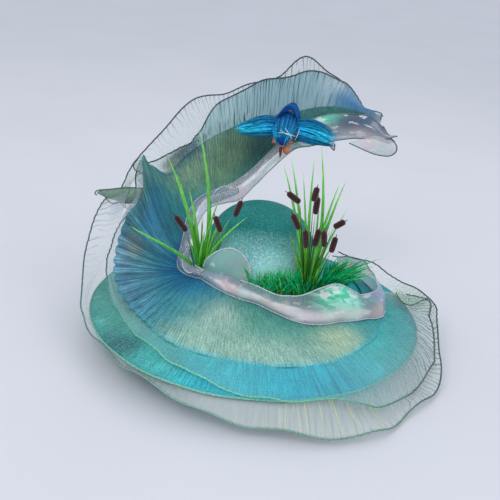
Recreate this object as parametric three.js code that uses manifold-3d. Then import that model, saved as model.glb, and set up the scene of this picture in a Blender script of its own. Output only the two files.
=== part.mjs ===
// Wide-brim occasion hat: a round crown on a broad straw brim, a pleated strip that spirals round the crown
// and rises behind it as a wave, two sheer ruffles, an iridescent trim, reeds, grass and a small raffia bird.
// Millimetres, +Z up. The origin is the middle of the head opening, level with the foot of the crown.
// The front of the hat faces -Y. A turn is an angle in degrees round the crown: 0 points to +X, 90 to the
// front, 180 to -X and 270 to the back. A lift is a height above the brim's cone, carried on past the rim.

import * as THREE from 'three';
import { mergeVertices } from 'three/addons/utils/BufferGeometryUtils.js';
import Module from 'manifold-3d';

const wasm = await Module();
wasm.setup();

// Crown
const CROWN_HALF_WIDTH = 93;
const CROWN_HALF_DEPTH = 102;
const CROWN_HEIGHT = 122;
const CROWN_FULLNESS = 2.55;
const CROWN_WALL = 1.6;
const CROWN_RINGS = 6;

// Brim: a round disc whose middle lies in front of the crown's middle
const BRIM_RADIUS = 260;
const BRIM_FORWARD = 28;
const BRIM_DROP = 45;
const BRIM_CURVE = 0.2;
const BRIM_WALL = 1.5;
const BRIM_RINGS = 4;
const ROUND_SEGMENTS = 48;

// Cloth
const STRIP_WALL = 1.2;
const ORGANZA_WALL = 1.0;
const TRIM_WALL = 1.0;
const PIECE_GAP = 0.35;
const TURN_STEP = 5;
const RIPPLE_PERIOD = 20;
const UPPER_RIPPLE = 2.6;
const LOWER_RIPPLE = 3.2;
const PLEAT_PERIOD = 15;
const PLEAT_HEIGHT = 0.7;
const PLEAT_END_HEIGHT = 2.4;
const TRIM_BULGE = 7;
const TRIM_RIPPLE = 1.4;

// The pleated strip, a row for each section: its inner edge by the crown and its outer edge
const STRIP = [
  { turn: -40, innerRadius: 166, innerLift: 4, outerRadius: 196, outerLift: 4 },
  { turn: -20, innerRadius: 171, innerLift: 4, outerRadius: 205, outerLift: 4 },
  { turn: 0, innerRadius: 172, innerLift: 4, outerRadius: 209, outerLift: 4 },
  { turn: 20, innerRadius: 160, innerLift: 4, outerRadius: 214, outerLift: 4 },
  { turn: 40, innerRadius: 140, innerLift: 4, outerRadius: 221, outerLift: 4 },
  { turn: 60, innerRadius: 122, innerLift: 5, outerRadius: 232, outerLift: 4 },
  { turn: 80, innerRadius: 110.5, innerLift: 8, outerRadius: 232, outerLift: 4 },
  { turn: 100, innerRadius: 109, innerLift: 14, outerRadius: 227, outerLift: 4 },
  { turn: 120, innerRadius: 108, innerLift: 22, outerRadius: 225, outerLift: 4.5 },
  { turn: 138, innerRadius: 106, innerLift: 24, outerRadius: 217, outerLift: 6.5 },
  { turn: 150, innerRadius: 107, innerLift: 18, outerRadius: 219, outerLift: 12 },
  { turn: 160, innerRadius: 108, innerLift: 14, outerRadius: 225, outerLift: 24 },
  { turn: 170, innerRadius: 110, innerLift: 15, outerRadius: 230, outerLift: 46 },
  { turn: 180, innerRadius: 113, innerLift: 20, outerRadius: 228, outerLift: 75 },
  { turn: 188, innerRadius: 116, innerLift: 29, outerRadius: 225, outerLift: 101 },
  { turn: 195, innerRadius: 119, innerLift: 46, outerRadius: 219, outerLift: 138 },
  { turn: 201, innerRadius: 122, innerLift: 67, outerRadius: 217, outerLift: 170 },
  { turn: 207, innerRadius: 124, innerLift: 84, outerRadius: 216, outerLift: 176 },
  { turn: 214, innerRadius: 125, innerLift: 98, outerRadius: 213, outerLift: 162 },
  { turn: 223, innerRadius: 128, innerLift: 104, outerRadius: 211, outerLift: 167 },
  { turn: 235, innerRadius: 131, innerLift: 108, outerRadius: 212, outerLift: 194 },
  { turn: 250, innerRadius: 136, innerLift: 117, outerRadius: 212, outerLift: 223 },
  { turn: 265, innerRadius: 146, innerLift: 149, outerRadius: 212, outerLift: 243 },
  { turn: 280, innerRadius: 160, innerLift: 192, outerRadius: 212, outerLift: 261 },
  { turn: 295, innerRadius: 175, innerLift: 218, outerRadius: 211, outerLift: 279 },
  { turn: 310, innerRadius: 190, innerLift: 235, outerRadius: 208, outerLift: 284 },
  { turn: 325, innerRadius: 201, innerLift: 246, outerRadius: 208, outerLift: 282 },
  { turn: 335, innerRadius: 222, innerLift: 248, outerRadius: 228, outerLift: 259 },
];

// The upper ruffle beyond the strip's outer edge: a fold line half way out, and its hem
const UPPER_RUFFLE = [
  { turn: -15, midRadius: 240, midLift: 4, hemRadius: 268, hemLift: 7 },
  { turn: -8, midRadius: 258, midLift: 6, hemRadius: 295, hemLift: 26 },
  { turn: 0, midRadius: 264, midLift: 5, hemRadius: 288, hemLift: 12 },
  { turn: 10, midRadius: 268, midLift: 4, hemRadius: 293, hemLift: 0 },
  { turn: 20, midRadius: 272, midLift: 4, hemRadius: 300, hemLift: -11 },
  { turn: 32, midRadius: 277, midLift: 4, hemRadius: 300, hemLift: -18 },
  { turn: 44, midRadius: 282, midLift: 4, hemRadius: 306, hemLift: -17 },
  { turn: 54, midRadius: 285, midLift: 4, hemRadius: 307, hemLift: -9 },
  { turn: 62, midRadius: 282, midLift: 4, hemRadius: 302, hemLift: 2 },
  { turn: 70, midRadius: 270, midLift: 4.5, hemRadius: 294, hemLift: 6 },
  { turn: 85, midRadius: 266, midLift: 4.5, hemRadius: 294, hemLift: 7 },
  { turn: 100, midRadius: 256, midLift: 4.5, hemRadius: 277, hemLift: 7 },
  { turn: 115, midRadius: 245, midLift: 4.5, hemRadius: 258, hemLift: 7 },
  { turn: 130, midRadius: 235, midLift: 5.5, hemRadius: 245, hemLift: 8 },
  { turn: 145, midRadius: 229, midLift: 11, hemRadius: 239, hemLift: 14 },
  { turn: 160, midRadius: 234, midLift: 30, hemRadius: 241, hemLift: 33 },
  { turn: 172, midRadius: 237.5, midLift: 53, hemRadius: 241, hemLift: 53 },
  { turn: 183, midRadius: 234.5, midLift: 81, hemRadius: 237.5, hemLift: 75 },
  { turn: 192, midRadius: 229.5, midLift: 115, hemRadius: 231.5, hemLift: 107 },
  { turn: 198, midRadius: 226, midLift: 153, hemRadius: 228.5, hemLift: 146 },
  { turn: 203, midRadius: 225, midLift: 177, hemRadius: 228.5, hemLift: 182 },
  { turn: 209, midRadius: 222.5, midLift: 176, hemRadius: 226, hemLift: 178 },
  { turn: 217, midRadius: 217, midLift: 174, hemRadius: 217, hemLift: 187 },
  { turn: 226, midRadius: 217, midLift: 184, hemRadius: 202, hemLift: 195 },
  { turn: 236, midRadius: 218, midLift: 210, hemRadius: 219, hemLift: 221 },
  { turn: 246, midRadius: 221, midLift: 238, hemRadius: 238, hemLift: 268 },
  { turn: 260, midRadius: 225, midLift: 268, hemRadius: 240, hemLift: 305 },
  { turn: 275, midRadius: 226, midLift: 290, hemRadius: 240, hemLift: 329 },
  { turn: 290, midRadius: 225, midLift: 307, hemRadius: 240, hemLift: 342 },
  { turn: 300, midRadius: 221, midLift: 307, hemRadius: 236, hemLift: 331 },
  { turn: 310, midRadius: 214, midLift: 297, hemRadius: 226, hemLift: 303 },
  { turn: 320, midRadius: 212, midLift: 291, hemRadius: 217, hemLift: 288 },
  { turn: 330, midRadius: 213, midLift: 284, hemRadius: 216, hemLift: 286 },
];

// The lower ruffle: sewn under the brim, it droops past the rim and then climbs the back of the wave
const LOWER_RUFFLE = [
  { turn: -55, baseRadius: 222, baseLift: -3, midRadius: 240, midLift: -2, hemRadius: 262, hemLift: 22 },
  { turn: -40, baseRadius: 227, baseLift: -3, midRadius: 245, midLift: -2, hemRadius: 281, hemLift: 21 },
  { turn: -22, baseRadius: 234, baseLift: -3, midRadius: 274, midLift: -2, hemRadius: 292, hemLift: 18 },
  { turn: -9, baseRadius: 240, baseLift: -3, midRadius: 284, midLift: -4, hemRadius: 302, hemLift: 28 },
  { turn: 2, baseRadius: 245, baseLift: -3, midRadius: 285, midLift: -6, hemRadius: 298, hemLift: 18 },
  { turn: 14, baseRadius: 251, baseLift: -3, midRadius: 287, midLift: -18, hemRadius: 304, hemLift: -7 },
  { turn: 28, baseRadius: 258, baseLift: -3, midRadius: 292, midLift: -27, hemRadius: 321, hemLift: -19 },
  { turn: 44, baseRadius: 264, baseLift: -3, midRadius: 297, midLift: -28, hemRadius: 319, hemLift: -28 },
  { turn: 56, baseRadius: 269, baseLift: -3, midRadius: 298, midLift: -22, hemRadius: 334, hemLift: -21 },
  { turn: 70, baseRadius: 272, baseLift: -3, midRadius: 290, midLift: -6, hemRadius: 328, hemLift: -21 },
  { turn: 84, baseRadius: 274, baseLift: -3, midRadius: 292, midLift: -6, hemRadius: 309, hemLift: -24 },
  { turn: 98, baseRadius: 273, baseLift: -3, midRadius: 290, midLift: -7, hemRadius: 300, hemLift: -22 },
  { turn: 112, baseRadius: 262, baseLift: -3, midRadius: 276, midLift: -6, hemRadius: 289, hemLift: -14 },
  { turn: 128, baseRadius: 250, baseLift: -3, midRadius: 265, midLift: -5, hemRadius: 281, hemLift: -9 },
  { turn: 146, baseRadius: 246, baseLift: -3, midRadius: 262, midLift: -5, hemRadius: 276, hemLift: -8 },
  { turn: 157, baseRadius: 258, baseLift: -4, midRadius: 271, midLift: -6, hemRadius: 279, hemLift: -4 },
  { turn: 165, baseRadius: 270, baseLift: -3, midRadius: 274, midLift: 1, hemRadius: 280, hemLift: 8 },
  { turn: 172, baseRadius: 266, baseLift: 12, midRadius: 272, midLift: 21, hemRadius: 279, hemLift: 29 },
  { turn: 180, baseRadius: 247, baseLift: 52, midRadius: 263, midLift: 56, hemRadius: 281, hemLift: 59 },
  { turn: 188, baseRadius: 234, baseLift: 95, midRadius: 257, midLift: 96, hemRadius: 282, hemLift: 97 },
  { turn: 196, baseRadius: 233, baseLift: 140, midRadius: 251, midLift: 136, hemRadius: 279, hemLift: 129 },
  { turn: 204, baseRadius: 231, baseLift: 164, midRadius: 249, midLift: 150, hemRadius: 276, hemLift: 130 },
  { turn: 212, baseRadius: 226, baseLift: 158, midRadius: 245, midLift: 168, hemRadius: 271, hemLift: 180 },
  { turn: 222, baseRadius: 219, baseLift: 162, midRadius: 235, midLift: 190, hemRadius: 253, hemLift: 223 },
  { turn: 232, baseRadius: 219, baseLift: 184, midRadius: 236, midLift: 223, hemRadius: 256, hemLift: 268 },
  { turn: 244, baseRadius: 219, baseLift: 212, midRadius: 240, midLift: 248, hemRadius: 262, hemLift: 289 },
  { turn: 258, baseRadius: 219, baseLift: 234, midRadius: 238, midLift: 268, hemRadius: 256, hemLift: 306 },
  { turn: 272, baseRadius: 219, baseLift: 251, midRadius: 235, midLift: 292, hemRadius: 252, hemLift: 333 },
  { turn: 282, baseRadius: 219, baseLift: 262, midRadius: 234, midLift: 308, hemRadius: 250, hemLift: 366 },
  { turn: 293, baseRadius: 218, baseLift: 272, midRadius: 232, midLift: 308, hemRadius: 246, hemLift: 345 },
  { turn: 303, baseRadius: 216, baseLift: 280, midRadius: 228, midLift: 298, hemRadius: 240, hemLift: 316 },
  { turn: 312, baseRadius: 215, baseLift: 283, midRadius: 223, midLift: 290, hemRadius: 232, hemLift: 293 },
];

// The iridescent trim: how far over the strip its sewn edge lies (0 to 1 of the strip) and its free edge
const TRIM = [
  { turn: -40, cover: 0.4, freeRadius: 168, freeLift: 26 },
  { turn: -28, cover: 0.5, freeRadius: 177, freeLift: 32 },
  { turn: -10, cover: 0.7, freeRadius: 192, freeLift: 21 },
  { turn: 5, cover: 0.93, freeRadius: 194, freeLift: 30 },
  { turn: 14, cover: 0.93, freeRadius: 184, freeLift: 31 },
  { turn: 22, cover: 0.75, freeRadius: 172, freeLift: 35 },
  { turn: 30, cover: 0.52, freeRadius: 161, freeLift: 46 },
  { turn: 40, cover: 0.38, freeRadius: 152, freeLift: 57 },
  { turn: 50, cover: 0.36, freeRadius: 144, freeLift: 51 },
  { turn: 62, cover: 0.31, freeRadius: 134, freeLift: 37 },
  { turn: 76, cover: 0.16, freeRadius: 122, freeLift: 33 },
  { turn: 90, cover: 0.05, freeRadius: 111, freeLift: 38 },
  { turn: 105, cover: 0.05, freeRadius: 109.5, freeLift: 43 },
  { turn: 120, cover: 0.05, freeRadius: 108.5, freeLift: 47 },
  { turn: 132, cover: 0.05, freeRadius: 108, freeLift: 45 },
  { turn: 146, cover: 0.05, freeRadius: 108.5, freeLift: 36 },
  { turn: 160, cover: 0.1, freeRadius: 112, freeLift: 38 },
  { turn: 172, cover: 0.16, freeRadius: 114, freeLift: 48 },
  { turn: 184, cover: 0.14, freeRadius: 112, freeLift: 54 },
  { turn: 196, cover: 0.12, freeRadius: 110, freeLift: 66 },
  { turn: 208, cover: 0.12, freeRadius: 110, freeLift: 84 },
  { turn: 222, cover: 0.1, freeRadius: 112, freeLift: 94 },
  { turn: 238, cover: 0.1, freeRadius: 121, freeLift: 96 },
  { turn: 252, cover: 0.12, freeRadius: 127, freeLift: 103 },
  { turn: 264, cover: 0.14, freeRadius: 135, freeLift: 132 },
  { turn: 275, cover: 0.28, freeRadius: 144, freeLift: 162 },
  { turn: 286, cover: 0.6, freeRadius: 153, freeLift: 190 },
  { turn: 298, cover: 0.76, freeRadius: 166, freeLift: 205 },
  { turn: 310, cover: 0.85, freeRadius: 182, freeLift: 222 },
  { turn: 322, cover: 0.9, freeRadius: 194, freeLift: 224 },
  { turn: 335, cover: 0.9, freeRadius: 229, freeLift: 235 },
];

// Reed blades: where each tip stands from the root of its bunch, how its middle bows, and its width
const LEFT_BLADES = [
  { tipX: -57, tipY: -4, tipZ: 208, bowX: -2, bowY: 0, bowZ: 0, width: 6 },
  { tipX: -16, tipY: -6, tipZ: 248, bowX: 22, bowY: -3, bowZ: 0, width: 6 },
  { tipX: -26, tipY: 2, tipZ: 156, bowX: -2, bowY: 0, bowZ: 0, width: 8 },
  { tipX: -104, tipY: -14, tipZ: 85, bowX: -8, bowY: 0, bowZ: 24, width: 6 },
  { tipX: 67, tipY: -40, tipZ: 128, bowX: -12, bowY: -8, bowZ: 0, width: 6 },
  { tipX: 40, tipY: -18, tipZ: 120, bowX: 2, bowY: -2, bowZ: 0, width: 5 },
  { tipX: 14, tipY: -12, tipZ: 114, bowX: 2, bowY: -3, bowZ: 0, width: 6 },
  { tipX: 24, tipY: -6, tipZ: 152, bowX: -6, bowY: -6, bowZ: 0, width: 6 },
];
const RIGHT_BLADES = [
  { tipX: -56, tipY: 2, tipZ: 218, bowX: 6, bowY: -2, bowZ: 0, width: 6 },
  { tipX: -46, tipY: -4, tipZ: 230, bowX: 10, bowY: 0, bowZ: 0, width: 6 },
  { tipX: -26, tipY: 8, tipZ: 205, bowX: 4, bowY: 0, bowZ: 0, width: 5 },
  { tipX: -13, tipY: 0, tipZ: 234, bowX: 2, bowY: 0, bowZ: 0, width: 6 },
  { tipX: -5, tipY: 12, tipZ: 248, bowX: 14, bowY: 0, bowZ: 0, width: 7 },
  { tipX: 1, tipY: 6, tipZ: 176, bowX: 0, bowY: 0, bowZ: 0, width: 6 },
  { tipX: 28, tipY: 4, tipZ: 196, bowX: -4, bowY: 0, bowZ: 0, width: 6 },
  { tipX: 38, tipY: 10, tipZ: 202, bowX: -2, bowY: 0, bowZ: 0, width: 6 },
  { tipX: 43, tipY: 0, tipZ: 158, bowX: -4, bowY: 0, bowZ: 0, width: 5 },
];

// Cattail heads: the foot and the top of each, from the root of its bunch
const LEFT_CATTAILS = [
  { footX: -24, footZ: 91, topX: -42, topZ: 114, depth: -14 },
  { footX: 28, footZ: 99, topX: 18, topZ: 123, depth: -24 },
  { footX: 47, footZ: 128, topX: 55, topZ: 153, depth: -30 },
];
const RIGHT_CATTAILS = [
  { footX: -27, footZ: 167, topX: -46, topZ: 180, depth: -14 },
  { footX: -24, footZ: 129, topX: -36, topZ: 151, depth: -22 },
  { footX: -11, footZ: 101, topX: -15, topZ: 128, depth: -22 },
  { footX: -9, footZ: 175, topX: -6, topZ: 196, depth: -26 },
  { footX: -3, footZ: 150, topX: -2, topZ: 176, depth: -10 },
  { footX: 1, footZ: 102, topX: 5, topZ: 129, depth: -16 },
  { footX: 14, footZ: 109, topX: 11, topZ: 133, depth: -30 },
  { footX: 26, footZ: 97, topX: 30, topZ: 121, depth: -20 },
  { footX: 26, footZ: 133, topX: 41, topZ: 144, depth: -12 },
];

// Roots of the reeds, on the brim between the crown and the trim
const LEFT_ROOT = { turn: 153, radius: 100.6, bind: 2.9, height: 34 };
const RIGHT_ROOT = { turn: 47, radius: 112, bind: 5, height: 18 };
const ROOT_SHARE = 0.92;
const ROOT_CLEARANCE = 0.3;
const BLADE_THICKNESS = 1.4;
const STEM_WIDTH = 1.8;
const STEM_BOW = -3;
const BLADE_STEPS = 4;
const BLADE_TIP_SHARE = 0.12;
const STEM_STEPS = 2;
const BOW_SHARE = 0.45;
const BIND_SIDES = 8;

// A cattail head's profile: how far along its length, and how thick as a share of its radius
const CATTAIL_PROFILE = [
  { along: 0, share: 0 },
  { along: 0.06, share: 0.8 },
  { along: 0.3, share: 1 },
  { along: 0.85, share: 0.92 },
  { along: 1, share: 0.2 },
];
const CATTAIL_RADIUS = 4.6;
const CATTAIL_SIDES = 7;
const CATTAIL_SPIKE = 7;

// Grass: a curved pad on the brim with blades fused to it
const GRASS_PADS = [
  { name: 'grass_front', from: 54, to: 90, inner: 103, outer: 107.2, blades: 15, tall: 82 },
  { name: 'grass_right', from: 6, to: 41, inner: 104, outer: 126, blades: 18, tall: 78 },
  { name: 'grass_left', from: 140, to: 149, inner: 98.6, outer: 103.4, blades: 4, tall: 38 },
];
const GRASS_PAD_HEIGHT = 2.4;
const GRASS_BLADE_RADIUS = 1.9;
const GRASS_BLADE_SIDES = 4;
const GRASS_SHORTEST = 0.62;
const GRASS_SIDE_LEAN = 0.24;
const GRASS_OUTWARD_LEAN = 0.5;
const GRASS_OPEN_TURN = 42;

// How far the height, side lean and outward lean swing from one blade to the next, in radians
const GRASS_SWING = { height: 2.4, side: 1.7, outward: 2.1 };

// Raffia bird, hovering against the inside of the crest with its head down
const BIRD = { x: 27, y: 151, z: 216 };
const BODY_SIZE = { x: 22, y: 24, z: 27 };
const HEAD_OFFSET = { x: -7, y: -25, z: -19 };
const HEAD_RADIUS = 13;
const BEAK_LENGTH = 20;
const BEAK_RADIUS = 3.2;
const BEAK_TILT = 0.35;
const BEAK_SIDES = 6;
const BALL_SEGMENTS = 12;
const BALL_RINGS = 8;
const BREAST_SIZE = { x: 6, y: 6, z: 5.5 };
const BREAST_OFFSET = { x: 2.6, y: -25.6, z: -35.6 };
const WING_SPAN = 68;
const WING_CHORD = 34;
const WING_SPAN_STEPS = 6;
const WING_CHORD_STEPS = 8;

// The wing's width as a share of its chord: at the root, how fast it grows and how fast it falls away
const WING_WIDTH = { root: 0.72, growth: 0.9, fall: 1.15 };
const WING_THICKNESS = 5;
const WING_RIBS = 4;
const WING_RIB_HEIGHT = 1.6;
const WING_DROOP = 14;
const WING_DROOP_CURVE = 1.5;
const WING_FORWARD = 16;
const WING_SEAT = 0.975;

// Colour and roughness of each finish
const FINISHES = {
  crown: { color: 0x3fa7a6, roughness: 0.5 },
  brim: { color: 0x3bb0ac, roughness: 0.6 },
  strip: { color: 0x6f9f8c, roughness: 0.6 },
  organza: { color: 0xb4cfc9, roughness: 0.5 },
  trim: { color: 0xb9bcd0, roughness: 0.3 },
  grass: { color: 0x0a6b48, roughness: 0.7 },
  reed: { color: 0x62c24a, roughness: 0.5 },
  cattail: { color: 0x37161a, roughness: 0.9 },
  raffia: { color: 0x0d78b8, roughness: 0.6 },
  beak: { color: 0x7a1f1c, roughness: 0.5 },
  breast: { color: 0xd88a63, roughness: 0.7 },
};

const hat = new THREE.Group();

function addMesh(name, geometry, finish) {
  const mesh = new THREE.Mesh(geometry, new THREE.MeshStandardMaterial({ ...finish, metalness: 0 }));
  mesh.name = name;
  hat.add(mesh);
}

// Keep only the positions and share the vertices that coincide
function welded(geometry) {
  geometry.deleteAttribute('normal');
  geometry.deleteAttribute('uv');
  const merged = mergeVertices(geometry, 1e-4);
  merged.computeVertexNormals();
  return merged;
}

function toSolid(geometry) {
  const merged = welded(geometry);
  const vertProperties = new Float32Array(merged.attributes.position.array);
  const triVerts = new Uint32Array(merged.index.array);
  return new wasm.Manifold(new wasm.Mesh({ numProp: 3, vertProperties, triVerts }));
}

function fromSolid(solid) {
  const mesh = solid.getMesh();
  const geometry = new THREE.BufferGeometry();
  geometry.setAttribute('position', new THREE.BufferAttribute(new Float32Array(mesh.vertProperties), 3));
  geometry.setIndex(new THREE.BufferAttribute(new Uint32Array(mesh.triVerts), 1));
  geometry.computeVertexNormals();
  return geometry;
}

function fuse(geometries) {
  const solids = geometries.map(toSolid);
  return fromSolid(solids.reduce((whole, next) => whole.add(next)));
}

// A smooth curve through one named column of a table
function track(table, column) {
  const turns = table.map((row) => row.turn);
  const values = table.map((row) => row[column]);
  const curve = new THREE.CubicInterpolant(turns, values, 1);
  return (turn) => curve.evaluate(turn)[0];
}

function tracks(table, columns) {
  return Object.fromEntries(columns.map((column) => [column, track(table, column)]));
}

function crownRadius(angle) {
  return 1 / Math.hypot(Math.cos(angle) / CROWN_HALF_WIDTH, Math.sin(angle) / CROWN_HALF_DEPTH);
}

function rimRadius(angle) {
  const side = BRIM_FORWARD * Math.cos(angle);
  return Math.sqrt(BRIM_RADIUS ** 2 - side ** 2) - BRIM_FORWARD * Math.sin(angle);
}

// Height of the brim's middle surface under any point, carried on past the rim
function brimHeight(x, y) {
  const angle = Math.atan2(y, x);
  const inner = crownRadius(angle);
  const along = (Math.hypot(x, y) - inner) / (rimRadius(angle) - inner);
  return -BRIM_DROP * ((1 - BRIM_CURVE) * along + BRIM_CURVE * along * along);
}

function place(turn, radius, lift) {
  const angle = THREE.MathUtils.degToRad(turn);
  const x = radius * Math.cos(angle);
  const y = -radius * Math.sin(angle);
  return new THREE.Vector3(x, y, brimHeight(x, y) + lift);
}

function ripple(turn, period) {
  return Math.sin((2 * Math.PI * turn) / period);
}

// Cut the box's under face along the same diagonals as its upper one, so that twisted patches keep their wall
function matchDiagonals(box) {
  const under = box.groups.at(-1);
  for (let start = under.start; start < under.start + under.count; start += 6) {
    const [a, b, d, , c] = box.index.array.slice(start, start + 6);
    box.index.array.set([a, b, c, a, c, d], start);
  }
}

// A closed sheet of even thickness: a box bent onto a grid of middle points
function bentSheet(grid, thickness) {
  const rows = grid.length - 1;
  const columns = grid[0].length - 1;
  const normals = grid.map((line, i) => line.map((point, j) => {
    const along = grid[Math.min(i + 1, rows)][j].clone().sub(grid[Math.max(i - 1, 0)][j]);
    const across = line[Math.min(j + 1, columns)].clone().sub(line[Math.max(j - 1, 0)]);
    return along.cross(across).normalize();
  }));
  const geometry = new THREE.BoxGeometry(1, 1, 1, rows, columns, 1);
  const position = geometry.attributes.position;
  const vertex = new THREE.Vector3();
  for (let index = 0; index < position.count; index += 1) {
    vertex.fromBufferAttribute(position, index);
    const i = Math.round((vertex.x + 0.5) * rows);
    const j = Math.round((vertex.y + 0.5) * columns);
    const moved = grid[i][j].clone().addScaledVector(normals[i][j], vertex.z * thickness);
    position.setXYZ(index, moved.x, moved.y, moved.z);
  }
  matchDiagonals(geometry);
  return welded(geometry);
}

// A sheet that runs round the crown over a table's turns: section(turn) lists its points as radius and lift
function spiralSheet(table, section, thickness) {
  const first = table[0].turn;
  const steps = Math.floor((table.at(-1).turn - first) / TURN_STEP);
  const grid = Array.from({ length: steps + 1 }, (_, index) => {
    const turn = first + index * TURN_STEP;
    return section(turn).map(({ radius, lift }) => place(turn, radius, lift));
  });
  return bentSheet(grid, thickness);
}

function spread(start, end, fraction) {
  return {
    radius: THREE.MathUtils.lerp(start.radius, end.radius, fraction),
    lift: THREE.MathUtils.lerp(start.lift, end.lift, fraction),
  };
}

// A round solid turned about Z, whose radii from 0 to 1 run from the crown's foot to the rim
function turnedBrim() {
  const half = BRIM_WALL / 2;
  const stations = Array.from({ length: BRIM_RINGS + 1 }, (_, index) => index / BRIM_RINGS);
  const under = stations.map((along) => new THREE.Vector2(1 + along, -half));
  const over = stations.toReversed().map((along) => new THREE.Vector2(1 + along, half));
  const profile = [...under, ...over, under[0].clone()];
  const geometry = new THREE.LatheGeometry(profile, ROUND_SEGMENTS).rotateX(Math.PI / 2);
  const position = geometry.attributes.position;
  for (let index = 0; index < position.count; index += 1) {
    const angle = Math.atan2(position.getY(index), position.getX(index));
    const along = Math.hypot(position.getX(index), position.getY(index)) - 1;
    const inner = crownRadius(angle) + PIECE_GAP;
    const radius = THREE.MathUtils.lerp(inner, rimRadius(angle), along);
    const x = radius * Math.cos(angle);
    const y = radius * Math.sin(angle);
    position.setXYZ(index, x, y, brimHeight(x, y) + position.getZ(index));
  }
  return welded(geometry);
}

// The crown's wall: an oval dome, open below
function turnedCrown() {
  const foot = -BRIM_WALL / 2;
  const wall = (shrink) => Array.from({ length: CROWN_RINGS + 1 }, (_, index) => {
    const sweep = (index / CROWN_RINGS) * (Math.PI / 2);
    const reach = Math.cos(sweep) ** (2 / CROWN_FULLNESS);
    const rise = Math.sin(sweep) ** (2 / CROWN_FULLNESS);
    const radius = index === CROWN_RINGS ? 0 : (CROWN_HALF_WIDTH - shrink) * reach;
    return new THREE.Vector2(radius, foot + (CROWN_HEIGHT - foot - shrink) * rise);
  });
  const inside = wall(CROWN_WALL).toReversed();
  const profile = [...inside, ...wall(0)];
  const geometry = new THREE.LatheGeometry(profile, ROUND_SEGMENTS).rotateX(Math.PI / 2);
  geometry.scale(1, CROWN_HALF_DEPTH / CROWN_HALF_WIDTH, 1);
  return welded(geometry);
}

// Pleated strip
const stripEdges = tracks(STRIP, ['innerRadius', 'innerLift', 'outerRadius', 'outerLift']);
const STRIP_STEPS = 4;
const FALLING_CURVE = 0.7;
const RISING_CURVE = 1.2;
const SHARE_STEP = 0.1;
const LEAST_FACING = 0.4;
const PLEAT_END_TURN = 160;
const PLEAT_END_SPREAD = 26;

// The strip's bend is straight between its facet lines, so that what is laid on it can follow it closely
function facetedBend(share, curve) {
  const low = Math.floor(share * STRIP_STEPS) / STRIP_STEPS;
  const high = low + 1 / STRIP_STEPS;
  return THREE.MathUtils.lerp(low ** curve, high ** curve, (share - low) * STRIP_STEPS);
}

function stripPoint(turn, share) {
  const innerLift = stripEdges.innerLift(turn);
  const outerLift = stripEdges.outerLift(turn);
  const bend = facetedBend(share, innerLift > outerLift ? FALLING_CURVE : RISING_CURVE);
  const nearEnds = Math.exp(-(((turn - PLEAT_END_TURN) / PLEAT_END_SPREAD) ** 2));
  const height = THREE.MathUtils.lerp(PLEAT_HEIGHT, PLEAT_END_HEIGHT, nearEnds) * share;
  return {
    radius: THREE.MathUtils.lerp(stripEdges.innerRadius(turn), stripEdges.outerRadius(turn), share),
    lift: THREE.MathUtils.lerp(innerLift, outerLift, bend) + height * ripple(turn, PLEAT_PERIOD),
  };
}

// How squarely the strip faces along its own section: less than 1 where it climbs as it turns
function stripFacing(turn, share, run, rise) {
  const step = TURN_STEP / 2;
  const spot = (nextTurn, nextShare) => {
    const { radius, lift } = stripPoint(nextTurn, nextShare);
    return place(nextTurn, radius, lift);
  };
  const along = spot(turn + step, share).sub(spot(turn - step, share));
  const across = spot(turn, share + SHARE_STEP).sub(spot(turn, Math.max(share - SHARE_STEP, 0)));
  const normal = along.cross(across).normalize();
  const angle = THREE.MathUtils.degToRad(turn);
  const facing = new THREE.Vector3(-rise * Math.cos(angle), rise * Math.sin(angle), run);
  return Math.abs(normal.dot(facing));
}

// A point off the strip's face: a positive distance is on its upper, inner side
function besideStrip(turn, share, distance) {
  const point = stripPoint(turn, share);
  const before = stripPoint(turn, Math.max(share - SHARE_STEP, 0));
  const after = stripPoint(turn, Math.min(share + SHARE_STEP, 1));
  const run = after.radius - before.radius;
  const rise = after.lift - before.lift;
  const length = Math.hypot(run, rise);
  const offset = distance / Math.max(stripFacing(turn, share, run / length, rise / length), LEAST_FACING);
  return {
    radius: point.radius - (rise / length) * offset,
    lift: point.lift + (run / length) * offset,
  };
}

function stripSection(turn) {
  return Array.from({ length: STRIP_STEPS + 1 }, (_, index) => stripPoint(turn, index / STRIP_STEPS));
}

// Upper ruffle, tucked under the strip's outer edge
const upperEdges = tracks(UPPER_RUFFLE, ['midRadius', 'midLift', 'hemRadius', 'hemLift']);
const UPPER_TUCK_SHARE = 0.9;
const UPPER_EDGE_SHARE = 1.03;
const UPPER_TUCK = (STRIP_WALL + ORGANZA_WALL) / 2 + 2.5 * PIECE_GAP;

function upperSection(turn) {
  const tuck = besideStrip(turn, UPPER_TUCK_SHARE, -UPPER_TUCK);
  const edge = besideStrip(turn, UPPER_EDGE_SHARE, -UPPER_TUCK);
  const wave = ripple(turn, RIPPLE_PERIOD);
  const fold = { radius: upperEdges.midRadius(turn), lift: upperEdges.midLift(turn) + wave };
  const hem = { radius: upperEdges.hemRadius(turn), lift: upperEdges.hemLift(turn) + UPPER_RIPPLE * wave };
  return [tuck, edge, fold, hem];
}

// Lower ruffle
const lowerEdges = tracks(LOWER_RUFFLE, [
  'baseRadius', 'baseLift', 'midRadius', 'midLift', 'hemRadius', 'hemLift',
]);

function lowerSection(turn) {
  const wave = ripple(turn + RIPPLE_PERIOD / 4, RIPPLE_PERIOD);
  const base = { radius: lowerEdges.baseRadius(turn), lift: lowerEdges.baseLift(turn) };
  const fold = { radius: lowerEdges.midRadius(turn), lift: lowerEdges.midLift(turn) };
  const hem = { radius: lowerEdges.hemRadius(turn), lift: lowerEdges.hemLift(turn) + LOWER_RIPPLE * wave };
  return [base, fold, spread(fold, hem, 0.5), hem];
}

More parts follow.
